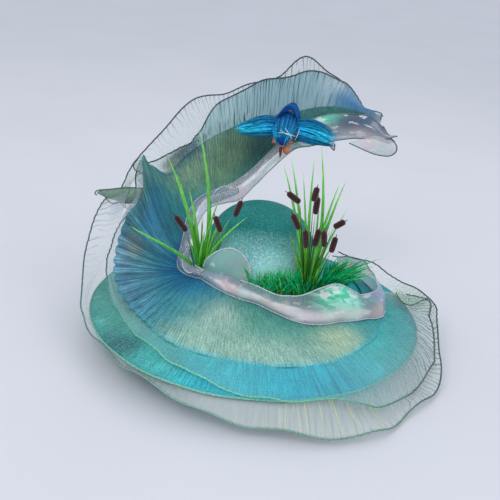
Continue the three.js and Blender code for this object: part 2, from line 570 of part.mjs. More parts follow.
// Iridescent trim: a standing band whose middle bulges away from the crown
const trimEdges = tracks(TRIM, ['cover', 'freeRadius', 'freeLift']);
const TRIM_SHARES = [0, 0.2, 0.5, 0.8, 1];
const TRIM_REST = (STRIP_WALL + TRIM_WALL) / 2 + PIECE_GAP;

function trimSection(turn) {
  const sewn = besideStrip(turn, trimEdges.cover(turn), TRIM_REST);
  const wave = TRIM_RIPPLE * ripple(turn, RIPPLE_PERIOD);
  const free = { radius: trimEdges.freeRadius(turn) + wave, lift: trimEdges.freeLift(turn) + wave };
  const run = free.radius - sewn.radius;
  const rise = free.lift - sewn.lift;
  const length = Math.hypot(run, rise);
  return TRIM_SHARES.map((share) => {
    const bulge = TRIM_BULGE * Math.sin(Math.PI * share);
    const point = spread(sewn, free, share);
    return { radius: point.radius + (rise / length) * bulge, lift: point.lift - (run / length) * bulge };
  });
}

// Plants
function rootPoint(root) {
  return place(root.turn, root.radius, BRIM_WALL / 2 + PIECE_GAP + root.bind * ROOT_CLEARANCE);
}

// A flat stalk along a bowed path, as wide at its foot as given and fine at its tip
function stalk(path, width, thickness, steps, tipShare) {
  const geometry = new THREE.BoxGeometry(1, 1, 1, 1, 1, steps);
  const position = geometry.attributes.position;
  const vertex = new THREE.Vector3();
  const away = new THREE.Vector3(0, 1, 0);
  for (let index = 0; index < position.count; index += 1) {
    vertex.fromBufferAttribute(position, index);
    const along = vertex.z + 0.5;
    const tangent = path.getTangent(along);
    const side = away.clone().cross(tangent).normalize();
    const front = tangent.clone().cross(side);
    const taper = 1 - (1 - tipShare) * along ** 2;
    const moved = path.getPoint(along)
      .addScaledVector(side, vertex.x * width * taper)
      .addScaledVector(front, vertex.y * thickness * taper);
    position.setXYZ(index, moved.x, moved.y, moved.z);
  }
  return geometry;
}

function bowedPath(foot, tip, bow) {
  const middle = foot.clone().lerp(tip, BOW_SHARE).add(bow);
  return new THREE.QuadraticBezierCurve3(foot, middle, tip);
}

// A bunch of reeds: a bound root with every blade and cattail stem fused to it
function reedBunch(root, blades, cattails) {
  const base = rootPoint(root);
  const bind = new THREE.CylinderGeometry(root.bind, root.bind, root.height, BIND_SIDES);
  bind.rotateX(Math.PI / 2).translate(base.x, base.y, base.z + root.height / 2);
  const foot = base.clone().add(new THREE.Vector3(0, 0, root.height * ROOT_SHARE));
  const leaves = blades.map(({ tipX, tipY, tipZ, bowX, bowY, bowZ, width }) => {
    const tip = base.clone().add(new THREE.Vector3(tipX, tipY, tipZ));
    const bow = new THREE.Vector3(bowX, bowY, bowZ);
    return stalk(bowedPath(foot, tip, bow), width, BLADE_THICKNESS, BLADE_STEPS, BLADE_TIP_SHARE);
  });
  const stems = cattails.map(({ footX, footZ, depth }) => {
    const top = base.clone().add(new THREE.Vector3(footX, depth, footZ - 2 * PIECE_GAP));
    const bow = new THREE.Vector3(0, STEM_BOW, 0);
    return stalk(bowedPath(foot, top, bow), STEM_WIDTH, STEM_WIDTH, STEM_STEPS, 1);
  });
  return fuse([bind, ...leaves, ...stems]);
}

// A cattail head: a plump rod with a thin spike on its tip
function cattailHead(root, { footX, footZ, topX, topZ, depth }) {
  const base = rootPoint(root);
  const foot = base.clone().add(new THREE.Vector3(footX, depth, footZ));
  const top = base.clone().add(new THREE.Vector3(topX, depth, topZ));
  const length = foot.distanceTo(top);
  const rod = CATTAIL_PROFILE.map(({ along, share }) => (
    new THREE.Vector2(CATTAIL_RADIUS * share, length * along)
  ));
  const profile = [...rod, new THREE.Vector2(0, length + CATTAIL_SPIKE)];
  const direction = top.clone().sub(foot).normalize();
  const turn = new THREE.Quaternion().setFromUnitVectors(new THREE.Vector3(0, 1, 0), direction);
  const geometry = new THREE.LatheGeometry(profile, CATTAIL_SIDES).applyQuaternion(turn);
  return welded(geometry.translate(foot.x, foot.y, foot.z));
}

function swing(index, stride) {
  return Math.abs(Math.sin(index * stride));
}

// A tuft of grass: cones that lean out of a curved pad
function grassTuft({ from, to, inner, outer, blades, tall }) {
  const rows = Math.max(Math.round((to - from) / TURN_STEP), 2);
  const lift = (BRIM_WALL + GRASS_PAD_HEIGHT) / 2 + PIECE_GAP;
  const grid = Array.from({ length: rows + 1 }, (_, row) => {
    const turn = THREE.MathUtils.lerp(from, to, row / rows);
    return [place(turn, inner, lift), place(turn, outer, lift)];
  });
  const pad = bentSheet(grid, GRASS_PAD_HEIGHT);
  const margin = THREE.MathUtils.radToDeg((1.5 * GRASS_BLADE_RADIUS) / inner);
  const cones = Array.from({ length: blades }, (_, index) => {
    const turn = THREE.MathUtils.lerp(from + margin, to - margin, (index + 0.5) / blades);
    const across = (index % 3) / 2;
    const radius = THREE.MathUtils.lerp(inner + GRASS_BLADE_RADIUS, outer - GRASS_BLADE_RADIUS, across);
    const height = THREE.MathUtils.lerp(tall * GRASS_SHORTEST, tall, swing(index, GRASS_SWING.height));
    const cone = new THREE.ConeGeometry(GRASS_BLADE_RADIUS, height, GRASS_BLADE_SIDES);
    cone.translate(0, height / 2, 0).rotateX(Math.PI / 2);
    cone.rotateX(GRASS_SIDE_LEAN * Math.sin(index * GRASS_SWING.side));
    cone.rotateY(turn < GRASS_OPEN_TURN ? GRASS_OUTWARD_LEAN * swing(index, GRASS_SWING.outward) : 0);
    cone.rotateZ(-THREE.MathUtils.degToRad(turn));
    const foot = place(turn, radius, lift);
    return cone.translate(foot.x, foot.y, foot.z);
  });
  return fuse([pad, ...cones]);
}

// Bird
function ball(radius, size, offset) {
  const geometry = new THREE.SphereGeometry(radius, BALL_SEGMENTS, BALL_RINGS).scale(size.x, size.y, size.z);
  return geometry.translate(BIRD.x + offset.x, BIRD.y + offset.y, BIRD.z + offset.z);
}

function birdBody() {
  const body = ball(1, BODY_SIZE, { x: 0, y: 0, z: 0 });
  const head = ball(HEAD_RADIUS, { x: 1, y: 1, z: 1 }, HEAD_OFFSET);
  return fuse([body, head]);
}

// A wing: a ribbed sheet, widest near its middle, that droops toward its tip
function wing(side) {
  const depth = (WING_FORWARD - WING_THICKNESS / 2 - WING_RIB_HEIGHT) / BODY_SIZE.y;
  const root = BODY_SIZE.x * WING_SEAT * Math.sqrt(1 - depth ** 2);
  const grid = Array.from({ length: WING_SPAN_STEPS + 1 }, (_, i) => {
    const span = i / WING_SPAN_STEPS;
    const chord = WING_CHORD * (WING_WIDTH.root + WING_WIDTH.growth * span - WING_WIDTH.fall * span ** 2);
    return Array.from({ length: WING_CHORD_STEPS + 1 }, (__, j) => {
      const across = j / WING_CHORD_STEPS - 0.5;
      const rib = WING_RIB_HEIGHT * (chord / WING_CHORD) * Math.cos(2 * Math.PI * WING_RIBS * across);
      return new THREE.Vector3(
        BIRD.x + side * (root + span * WING_SPAN),
        BIRD.y - WING_FORWARD - rib,
        BIRD.z - WING_DROOP * span ** WING_DROOP_CURVE + side * across * chord,
      );
    });
  });
  return bentSheet(grid, WING_THICKNESS);
}

function beak() {
  const cone = new THREE.ConeGeometry(BEAK_RADIUS, BEAK_LENGTH, BEAK_SIDES);
  const out = new THREE.Vector3(0, -Math.sin(BEAK_TILT), -Math.cos(BEAK_TILT));
  const turn = new THREE.Quaternion().setFromUnitVectors(new THREE.Vector3(0, 1, 0), out);
  const reach = HEAD_RADIUS + PIECE_GAP + BEAK_LENGTH / 2;
  cone.applyQuaternion(turn);
  return welded(cone.translate(
    BIRD.x + HEAD_OFFSET.x + out.x * reach,
    BIRD.y + HEAD_OFFSET.y + out.y * reach,
    BIRD.z + HEAD_OFFSET.z + out.z * reach,
  ));
}

addMesh('crown', turnedCrown(), FINISHES.crown);
addMesh('brim', turnedBrim(), FINISHES.brim);
addMesh('pleated_strip', spiralSheet(STRIP, stripSection, STRIP_WALL), FINISHES.strip);
addMesh('upper_ruffle', spiralSheet(UPPER_RUFFLE, upperSection, ORGANZA_WALL), FINISHES.organza);
addMesh('lower_ruffle', spiralSheet(LOWER_RUFFLE, lowerSection, ORGANZA_WALL), FINISHES.organza);
addMesh('iridescent_trim', spiralSheet(TRIM, trimSection, TRIM_WALL), FINISHES.trim);

GRASS_PADS.forEach((pad) => addMesh(pad.name, grassTuft(pad), FINISHES.grass));
addMesh('reeds_left', reedBunch(LEFT_ROOT, LEFT_BLADES, LEFT_CATTAILS), FINISHES.reed);
addMesh('reeds_right', reedBunch(RIGHT_ROOT, RIGHT_BLADES, RIGHT_CATTAILS), FINISHES.reed);
LEFT_CATTAILS.forEach((row, index) => {
  addMesh(`cattail_left_${index + 1}`, cattailHead(LEFT_ROOT, row), FINISHES.cattail);
});
RIGHT_CATTAILS.forEach((row, index) => {
  addMesh(`cattail_right_${index + 1}`, cattailHead(RIGHT_ROOT, row), FINISHES.cattail);
});
addMesh('bird_body', birdBody(), FINISHES.raffia);
addMesh('bird_wing_left', wing(-1), FINISHES.raffia);
addMesh('bird_wing_right', wing(1), FINISHES.raffia);
addMesh('bird_beak', beak(), FINISHES.beak);
addMesh('bird_breast', welded(ball(1, BREAST_SIZE, BREAST_OFFSET)), FINISHES.breast);

export default hat;
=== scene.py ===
"""Wide-brim occasion hat: round crown, broad brim, pleated strip that rises as a wave, sheer ruffles,
iridescent trim, reeds, grass and a raffia bird. Metres, +Z up, the front of the hat towards -Y.

A turn is an angle in degrees round the crown: 0 points to +X, 90 to the front, 180 to -X, 270 to the back.
A lift is a height above the brim's cone, carried on past the rim. A share runs across a sheet, 0 to 1.
"""
import math

import bmesh
import bpy
import numpy as np
from bpy.props import FloatProperty, FloatVectorProperty, IntProperty, PointerProperty
from mathutils import Matrix, Vector


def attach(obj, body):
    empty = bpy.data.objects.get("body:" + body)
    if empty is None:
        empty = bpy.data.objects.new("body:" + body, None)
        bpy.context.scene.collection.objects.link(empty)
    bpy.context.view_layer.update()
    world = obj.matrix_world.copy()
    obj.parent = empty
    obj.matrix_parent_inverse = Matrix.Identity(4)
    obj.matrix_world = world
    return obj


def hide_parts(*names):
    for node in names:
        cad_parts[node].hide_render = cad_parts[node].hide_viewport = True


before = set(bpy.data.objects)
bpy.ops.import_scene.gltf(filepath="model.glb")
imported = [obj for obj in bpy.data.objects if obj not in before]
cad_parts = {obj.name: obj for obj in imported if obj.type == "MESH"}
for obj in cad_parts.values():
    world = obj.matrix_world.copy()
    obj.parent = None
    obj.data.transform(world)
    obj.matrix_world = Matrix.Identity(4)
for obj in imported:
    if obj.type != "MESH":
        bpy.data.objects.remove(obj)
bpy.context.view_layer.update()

bl_info = {
    "name": "Wide-brim hat",
    "version": (1, 0, 0),
    "blender": (4, 5, 0),
    "location": "3D View > Sidebar > Hat",
    "description": "Builds a wide-brim occasion hat round its packed solids",
    "category": "Object",
}

MM = 0.001
ROOT = "root"

# Crown and brim, as the solids have them, in millimetres
CROWN_HALF_WIDTH = 93
CROWN_HALF_DEPTH = 102
CROWN_HEIGHT = 122
CROWN_FOOT = -0.7
CROWN_FULLNESS = 2.55
BRIM_RADIUS = 260
BRIM_FORWARD = 28
BRIM_DROP = 45
BRIM_CURVE = 0.2

# Walls in metres, where no setting has them
CROWN_WALL = 0.0015
BRIM_WALL = 0.0014

# turn, inner radius, inner lift, outer radius, outer lift
STRIP = np.array([
    (-40, 166, 4, 196, 4), (-20, 171, 4, 205, 4), (0, 172, 4, 209, 4), (20, 160, 4, 214, 4),
    (40, 140, 4, 221, 4), (60, 122, 5, 232, 4), (80, 110.5, 8, 232, 4), (100, 109, 14, 227, 4),
    (120, 108, 22, 225, 4.5), (138, 106, 24, 217, 6.5), (150, 107, 18, 219, 12), (160, 108, 14, 225, 24),
    (170, 110, 15, 230, 46), (180, 113, 20, 228, 75), (188, 116, 29, 225, 101), (195, 119, 46, 219, 138),
    (201, 122, 67, 217, 170), (207, 124, 84, 216, 176), (214, 125, 98, 213, 162), (223, 128, 104, 211, 167),
    (235, 131, 108, 212, 194), (250, 136, 117, 212, 223), (265, 146, 149, 212, 243), (280, 160, 192, 212, 261),
    (295, 175, 218, 211, 279), (310, 190, 235, 208, 284), (325, 201, 246, 208, 282), (335, 222, 248, 228, 259),
])

# turn, fold radius, fold lift, hem radius, hem lift
UPPER_RUFFLE = np.array([
    (-15, 240, 4, 268, 7), (-8, 258, 6, 295, 26), (0, 264, 5, 288, 12), (10, 268, 4, 293, 0),
    (20, 272, 4, 300, -11), (32, 277, 4, 300, -18), (44, 282, 4, 306, -17), (54, 285, 4, 307, -9),
    (62, 282, 4, 302, 2), (70, 270, 4.5, 294, 6), (85, 266, 4.5, 294, 7), (100, 256, 4.5, 277, 7),
    (115, 245, 4.5, 258, 7), (130, 235, 5.5, 245, 8), (145, 229, 11, 239, 14), (160, 234, 30, 241, 33),
    (172, 237.5, 53, 241, 53), (183, 234.5, 81, 237.5, 75), (192, 229.5, 115, 231.5, 107),
    (198, 226, 153, 228.5, 146), (203, 225, 177, 228.5, 182), (209, 222.5, 176, 226, 178),
    (217, 217, 174, 217, 187), (226, 217, 184, 202, 195), (236, 218, 210, 219, 221), (246, 221, 238, 238, 268),
    (260, 225, 268, 240, 305), (275, 226, 290, 240, 329), (290, 225, 307, 240, 342), (300, 221, 307, 236, 331),
    (310, 214, 297, 226, 303), (320, 212, 291, 217, 288), (327, 213, 285, 214, 286),
])

# turn, base radius, base lift, fold radius, fold lift, hem radius, hem lift
LOWER_RUFFLE = np.array([
    (-55, 222, -3, 240, -2, 262, 22), (-40, 227, -3, 245, -2, 281, 21), (-22, 234, -3, 274, -2, 292, 18),
    (-9, 240, -3, 284, -4, 302, 28), (2, 245, -3, 285, -6, 298, 18), (14, 251, -3, 287, -18, 304, -7),
    (28, 258, -3, 292, -27, 321, -19), (44, 264, -3, 297, -28, 319, -28), (56, 269, -3, 298, -22, 334, -21),
    (70, 272, -3, 290, -6, 328, -21), (84, 274, -3, 292, -6, 309, -24), (98, 273, -3, 290, -7, 300, -22),
    (112, 262, -3, 276, -6, 289, -14), (128, 250, -3, 265, -5, 281, -9), (146, 246, -3, 262, -5, 276, -8),
    (157, 258, -4, 271, -6, 279, -4), (165, 270, -3, 274, 1, 280, 8), (172, 266, 12, 272, 21, 279, 29),
    (180, 247, 52, 263, 56, 281, 59), (188, 234, 95, 257, 96, 282, 97), (196, 233, 140, 251, 136, 279, 129),
    (204, 231, 164, 249, 150, 276, 130), (212, 226, 158, 245, 168, 271, 180), (222, 219, 162, 235, 190, 253, 223),
    (232, 219, 184, 236, 223, 256, 268), (244, 219, 212, 240, 248, 262, 289), (258, 219, 234, 238, 268, 256, 306),
    (272, 219, 251, 235, 292, 252, 333), (282, 219, 262, 234, 308, 250, 366), (293, 218, 272, 232, 308, 246, 345),
    (303, 216, 280, 228, 298, 240, 316), (312, 215, 283, 223, 290, 232, 293),
])

# turn, share of the strip that the sewn edge lies over, free radius, free lift
TRIM = np.array([
    (-40, 0.4, 168, 21), (-34, 0.42, 172, 29), (-28, 0.45, 178, 37), (-20, 0.5, 186, 41), (-10, 0.65, 192, 38),
    (-2, 0.85, 195, 32), (5, 0.93, 194, 30), (14, 0.93, 184, 31),
    (22, 0.75, 172, 35), (30, 0.52, 161, 46), (40, 0.38, 152, 57), (50, 0.36, 144, 51), (62, 0.31, 134, 37),
    (76, 0.16, 122, 33), (90, 0.05, 111, 38), (105, 0.05, 109.5, 43), (120, 0.05, 108.5, 47),
    (132, 0.05, 108, 45), (146, 0.05, 108.5, 36), (160, 0.1, 112, 38), (172, 0.16, 114, 48),
    (184, 0.14, 112, 54), (196, 0.12, 110, 66), (208, 0.12, 110, 84), (222, 0.1, 112, 90),
    (238, 0.1, 121, 90), (252, 0.12, 126, 95), (264, 0.14, 134, 123), (275, 0.28, 143, 156),
    (286, 0.6, 153, 190), (298, 0.76, 166, 206), (310, 0.85, 182, 226), (322, 0.9, 197, 242),
    (335, 0.9, 222, 258),
])

# Small folds and loops of sheer cloth that grow from a hem, each with its own cord, in millimetres:
# name, slot, carrier, foot, free edge, colour and opacity, cord's colour, cut width and length in metres
FLAPS = [
    ("leaf_fold", "organza", "lower_cloth",
     [(-186, 66, 90), (-221, 66, 82), (-249, 74, 81), (-266, 82, 82), (-281, 88, 85)],
     [(-189, 66, 109), (-205, 66, 109), (-231, 72, 105), (-257, 80, 97), (-275, 86, 92)],
     (122, 156, 134, 0.74), (70, 92, 84), (0.018, 0.10)),
    ("leaf_shadow", "organza", "lower_cloth",
     [(-185, 64, 69), (-203, 63, 68), (-220, 68, 67), (-234, 74, 70)],
     [(-186, 63, 90), (-208, 63, 84), (-224, 68, 80), (-240, 74, 78)],
     (214, 224, 222, 0.26), (120, 140, 138), (0.017, 0.055)),
    ("trim_petal", "iridescent_film", "trim_ribbon",
     [(-80, -74, 33), (-66, -87, 34), (-46, -98, 33), (-27, -106, 31), (-13, -109, 30)],
     [(-83, -80, 46), (-81, -87, 58), (-75, -93, 68), (-66, -97, 78), (-55, -99, 85), (-41, -99, 87),
      (-28, -100, 81), (-19, -102, 72), (-13, -104, 60), (-11, -107, 42)],
     (158, 196, 190, 0.52), (214, 226, 230), (0.045, 0.085)),
    ("trim_drop", "iridescent_film", "trim_ribbon",
     [(132, 131, 201), (145, 125, 208), (159, 117, 216), (175, 110, 227), (182, 111, 239)],
     [(133, 129, 200), (161, 116, 193), (179, 109, 190), (197, 101, 192), (206, 96, 200), (207, 94, 209),
      (203, 95, 216), (194, 100, 223), (189, 105, 229), (182, 109, 239)],
     (236, 230, 234, 0.50), (104, 112, 120), (0.024, 0.085)),
    ("trim_left_loop", "iridescent_film", "trim_ribbon",
     [(-108, -25, 40), (-106, -35, 33), (-102, -46, 30), (-96, -56, 30)],
     [(-112, -22, 48), (-119, -34, 38), (-117, -48, 27), (-106, -60, 23), (-97, -62, 29)],
     (170, 180, 200, 0.55), (206, 216, 226), (0.0135, 0.045)),
    ("trim_upper_loop", "iridescent_film", "trim_ribbon",
     [(-88, 62, 92), (-74, 72, 96), (-60, 82, 100), (-46, 92, 104)],
     [(-90, 60, 97), (-80, 63, 117), (-68, 70, 124), (-56, 78, 117), (-46, 86, 118), (-43, 92, 108)],
     (170, 182, 196, 0.40), (214, 226, 230), (0.022, 0.06)),
    ("peak_loop", "organza", "upper_cloth",
     [(-205, 70, 137), (-203, 70, 146), (-203, 70, 156), (-205, 70, 165)],
     [(-207, 70, 136), (-215, 72, 137), (-218, 72, 145), (-212, 71, 155), (-207, 70, 165)],
     (178, 205, 195, 0.35), (62, 88, 84), (0.012, 0.03)),
    ("crest_tip_loop", "organza", "upper_cloth",
     [(153, 146, 254), (161, 136, 252), (172, 126, 251), (176, 119, 248)],
     [(156, 140, 256), (170, 130, 257), (178, 121, 256), (177, 119, 251), (177, 117, 247)],
     (206, 216, 216, 0.35), (84, 104, 108), (0.01, 0.024)),
    ("crest_point_loop", "iridescent_film", "trim_ribbon",
     [(93, 142, 196), (98, 141, 196), (103, 140, 197), (108, 139, 198)],
     [(95, 141, 193), (101, 140, 190), (110, 138, 183), (110, 138, 194)],
     (170, 186, 186, 0.40), (84, 96, 102), (0.011, 0.017)),
    ("right_flap", "organza", "upper_cloth",
     [(243, 86, -38), (255, 78, -40), (268, 69, -40), (282, 58, -36), (291, 48, -32)],
     [(238, 54, -32), (242, 14, -28), (254, 4, -28), (268, 18, -30), (282, 36, -31), (292, 44, -31)],
     (176, 210, 184, 0.20), (84, 110, 98), (0.04, 0.06)),
]
# Where leaf_fold's cord runs on past its cloth, and a loose curl of cord below it
LEAF_TAIL = [(-275, 86, 92), (-281, 88, 89), (-284, 88, 84), (-280, 87, 82)]
LEAF_CURL = [(-240, 74, 78), (-250, 76, 74), (-258, 79, 75), (-265, 82, 82), (-274, 86, 91)]


# ---------------------------------------------------------------- numbers and places

def linear(red, green, blue):
    """A colour given in 0 to 255, as the renderer's linear light."""
    return np.array([(value / 255) ** 2.2 for value in (red, green, blue)])


def track(table, column):
    """A smooth curve through one column of a table."""
    turns, values = table[:, 0], table[:, column]
    secants = np.diff(values) / np.diff(turns)
    slopes = np.concatenate([secants[:1], (secants[1:] + secants[:-1]) / 2, secants[-1:]])

    def follow(turn):
        turn = np.asarray(turn, float)
        index = np.clip(np.searchsorted(turns, turn, side="right") - 1, 0, len(turns) - 2)
        width = turns[index + 1] - turns[index]
        along = (turn - turns[index]) / width
        square, cube = along ** 2, along ** 3
        return ((2 * cube - 3 * square + 1) * values[index]
                + (cube - 2 * square + along) * width * slopes[index]
                + (3 * square - 2 * cube) * values[index + 1]
                + (cube - square) * width * slopes[index + 1])

    return follow


def tracks(table):
    return [track(table, column) for column in range(1, table.shape[1])]


def crown_radius(angle):
    return 1 / np.hypot(np.cos(angle) / CROWN_HALF_WIDTH, np.sin(angle) / CROWN_HALF_DEPTH)


def rim_radius(angle):
    """Distance from the crown's middle to the rim, whose own middle lies further forward."""
    side = BRIM_FORWARD * np.cos(angle)
    return np.sqrt(BRIM_RADIUS ** 2 - side ** 2) - BRIM_FORWARD * np.sin(angle)


def brim_height(x, y):
    """Height of the brim's middle surface under a point, carried on past the rim."""
    angle = np.arctan2(y, x)
    inner = crown_radius(angle)
    along = (np.hypot(x, y) - inner) / (rim_radius(angle) - inner)
    return -BRIM_DROP * ((1 - BRIM_CURVE) * along + BRIM_CURVE * along ** 2)


def xyz(x, y, z):
    """Points or steps from coordinates, each an array or a number."""
    return np.stack(np.broadcast_arrays(x, y, z), axis=-1)


def place(turn, radius, lift):
    """Points in millimetres for turns, radii and lifts."""
    angle = np.radians(turn)
    x, y = radius * np.cos(angle), -radius * np.sin(angle)
    return xyz(x, y, brim_height(x, y) + lift)


def away(turn):
    """The level direction away from the middle at each turn."""
    angle = np.radians(turn)
    return xyz(np.cos(angle), -np.sin(angle), 0.0)


def blend(start, end, share):
    """The mix of two numbers or rows, the start at share 0 and the end at share 1."""
    return start * (1 - share) + end * share


def unit(vectors):
    return vectors / np.maximum(np.linalg.norm(vectors, axis=-1, keepdims=True), 1e-9)


def smooth_line(points, share):
    """Places at shares 0 to 1 along a smooth line through a few points."""
    points = np.array(points, float)
    knots = np.column_stack([np.arange(len(points)), points])
    return np.stack([follow(share * (len(points) - 1)) for follow in tracks(knots)], axis=-1)


def near(value, middle, reach):
    """1 where the value is at the middle, falling smoothly to about a third one reach away."""
    return np.exp(-((value - middle) / reach) ** 2)


def wander(turn, seed, *periods):
    """A smooth irregular swing between about -1 and 1 that sums sines of the given periods in degrees."""
    swings = [np.sin(2 * np.pi * (turn / period + seed * 0.37 * (order + 1)))
              for order, period in enumerate(periods)]
    return sum(swings) / len(swings)


def pleat(phase, sharpness=0.7):
    """Round ridges with narrow valleys, 0 to 1, one for each whole number of phase."""
    return np.abs(np.sin(np.pi * phase)) ** sharpness


def raised(surface, relief, turn, share):
    """The surface's points, moved along its normals by relief(turn, share)."""
    turn_step, share_step = 0.5, 0.01
    along = surface(turn + turn_step, share) - surface(turn - turn_step, share)
    across = surface(turn, share + share_step) - surface(turn, share - share_step)
    return surface(turn, share) + relief(turn, share)[..., None] * unit(np.cross(along, across))


def spread(table, function):
    """A function of turn and share, as one of the shares along and across a table's sheet."""
    return lambda along, across: function(blend(table[0, 0], table[-1, 0], along), across)


# ---------------------------------------------------------------- the sheets' surfaces

inner_radius, inner_lift, outer_radius, outer_lift = tracks(STRIP)
upper_fold_radius, upper_fold_lift, upper_hem_radius, upper_hem_lift = tracks(UPPER_RUFFLE)
(lower_base_radius, lower_base_lift, lower_fold_radius, lower_fold_lift,
 lower_hem_radius, lower_hem_lift) = tracks(LOWER_RUFFLE)
trim_cover, trim_free_radius, trim_free_lift = tracks(TRIM)

FAN_CENTRE = 165
FAN_SQUEEZE = 0.6
PLEAT_PERIOD = 1.3
ORGANZA_PERIOD = 2.3
RIPPLE_PERIOD = 20


def strip_base(turn, share):
    low, high = inner_lift(turn), outer_lift(turn)
    curve = 0.95 + 0.25 * np.tanh((high - low) / 8)
    bend = np.clip(share, 0, None) ** curve
    return place(turn, blend(inner_radius(turn), outer_radius(turn), share), blend(low, high, bend))


def fan(outer_turn):
    """How far the pleats lean at the strip's inner edge, so that they spread from the blue middle."""
    offset = outer_turn - FAN_CENTRE
    return FAN_SQUEEZE * offset / (1 + np.abs(offset / 48) ** 3)


def folded_turn(outer_turn, share):
    """The turn that a pleat line has reached at a share, for a line that ends at outer_turn."""
    return outer_turn - np.clip(1 - share, 0, None) ** 1.5 * fan(outer_turn)


def broad_folds(turn, sharpness):
    return pleat(turn / 4.6 + 0.3 * np.sin(turn / 7), sharpness)


def strip_relief(turn, share):
    fine = (0.35 + 0.75 * share) * (pleat(turn / PLEAT_PERIOD) - 0.6)
    fold = near(turn, 160, 30) * 4 * np.clip(share - 0.3, 0, None) ** 1.3 * (broad_folds(turn, 0.6) - 0.6)
    wave = 1.5 * share * wander(turn, 3, 15, 37)
    return fine + fold + wave


def notch(turn):
    """How far the hems are drawn in under the wave's peak, in millimetres."""
    return 15 * near(turn, 194.5, 3.2)


def strip_surface(outer_turn, share):
    share = share * (1 - 0.3 * np.clip((outer_turn - 313) / 22, 0, 1))
    turn = folded_turn(outer_turn, share)
    base = lambda t, s: strip_base(folded_turn(t, s), s)
    points = raised(base, strip_relief, outer_turn, share)
    lobe = near(outer_turn, 160, 28) * 5.5 * (broad_folds(outer_turn, 0.8) - 0.8) * share ** 6
    points = points + lobe[..., None] * away(turn)
    lying = np.clip((138 - outer_turn) / 20, 0, 1) * np.clip((share - 0.78) / 0.22, 0, 1) ** 2
    peak = near(outer_turn, 199.5, np.where(outer_turn < 199.5, 2.8, 4.0)) * share ** 3
    points = points - (notch(outer_turn) * share ** 3)[..., None] * away(turn)
    points[..., 2] += 31 * peak - 3.2 * lying - 6 * near(outer_turn, 216, 8) * share ** 3
    return points


def section_curve(knots, share):
    """A smooth path across a sheet through four points, given as arrays at shares 0, 1/3, 2/3 and 1."""
    first, second, third, fourth = knots
    place_in = np.clip(share, 0, 1) * 3
    index = np.minimum(place_in.astype(int), 2)
    along = (place_in - index)[..., None]
    chain = [2 * first - second, first, second, third, fourth, 2 * fourth - third]
    pick = lambda shift: np.select([(index == step)[..., None] for step in range(3)],
                                   [chain[step + shift] for step in range(3)])
    before, start, end, after = (pick(shift) for shift in range(4))
    square, cube = along ** 2, along ** 3
    curve = 0.5 * (2 * start + (end - before) * along
                   + (2 * before - 5 * start + 4 * end - after) * square
                   + (3 * start - before - 3 * end + after) * cube)
    overshoot = (share - np.clip(share, 0, 1))[..., None]
    return curve + overshoot * 3 * (fourth - third)


def ripple(turn):
    return np.sin(2 * np.pi * turn / RIPPLE_PERIOD)


def beside_strip(turn, share, distance):
    """A point off the strip's smooth face: a positive distance is on its upper, inner side."""
    return raised(strip_base, lambda t, s: distance + 0 * t, turn, share + 0 * turn)


UPPER_TUCK = 2.6


def upper_base(turn, share):
    wave = ripple(turn)
    knots = [
        beside_strip(turn, 0.9, -UPPER_TUCK),
        beside_strip(turn, 1.03, -UPPER_TUCK),
        place(turn, upper_fold_radius(turn), upper_fold_lift(turn) + wave),
        place(turn, upper_hem_radius(turn), upper_hem_lift(turn) + 2.6 * wave),
    ]
    return section_curve(knots, share) - (notch(turn) * np.clip(share, 0, 1) ** 0.5)[..., None] * away(turn)


def upper_relief(turn, share):
    lean = turn + 1.2 * share * wander(turn, 1, 24, 41)
    fine = (0.2 + 1.1 * share) * (pleat(lean / ORGANZA_PERIOD, 0.8) - 0.6)
    return fine + 1.3 * share ** 2 * wander(turn, 5, 9, 13)


def lower_base(turn, share):
    wave = ripple(turn + RIPPLE_PERIOD / 4)
    base = place(turn, lower_base_radius(turn), lower_base_lift(turn))
    fold = place(turn, lower_fold_radius(turn), lower_fold_lift(turn))
    hem = place(turn, lower_hem_radius(turn), lower_hem_lift(turn) + 3.2 * wave)
    return section_curve([base, blend(base, fold, 0.75), blend(fold, hem, 0.3), hem], share)


def lower_relief(turn, share):
    lean = turn + 1.6 * share * wander(turn, 2, 27, 45)
    fine = (0.15 + 1.2 * share) * (pleat(lean / ORGANZA_PERIOD, 0.8) - 0.6)
    return fine + 1.5 * share ** 2 * wander(turn, 8, 11, 17)


def trim_base(turn, share):
    tail = np.sqrt(np.clip(1 - (np.clip(turn - 325, 0, None) / 10.01) ** 2, 0, None))
    share = 0.55 + (share - 0.55) * tail
    sewn = beside_strip(turn, trim_cover(turn) - 0.07 * near(turn, 25, 4), 2.2)
    free_radius = trim_free_radius(turn)
    free = place(turn, free_radius, trim_free_lift(turn))
    run = free_radius - np.hypot(sewn[..., 0], sewn[..., 1])
    rise = free[..., 2] - sewn[..., 2]
    length = np.maximum(np.hypot(run, rise), 1e-6)
    bulge = 7 * np.sin(np.pi * np.clip(share, 0, 1))
    sideways = away(turn) * (rise / length)[..., None]
    sideways[..., 2] = -run / length
    return blend(sewn, free, share[..., None]) + bulge[..., None] * sideways


def trim_relief(turn, share):
    gather = wander(turn, 4, 11, 17, 29)
    return (0.4 + 2.2 * share ** 2) * gather + 0.8 * near(turn, 12, 12) * np.sin(turn * 1.1 + 4 * share)


# ---------------------------------------------------------------- colour zones
# turn, share, reach in turn, reach in share, red, green, blue, opacity

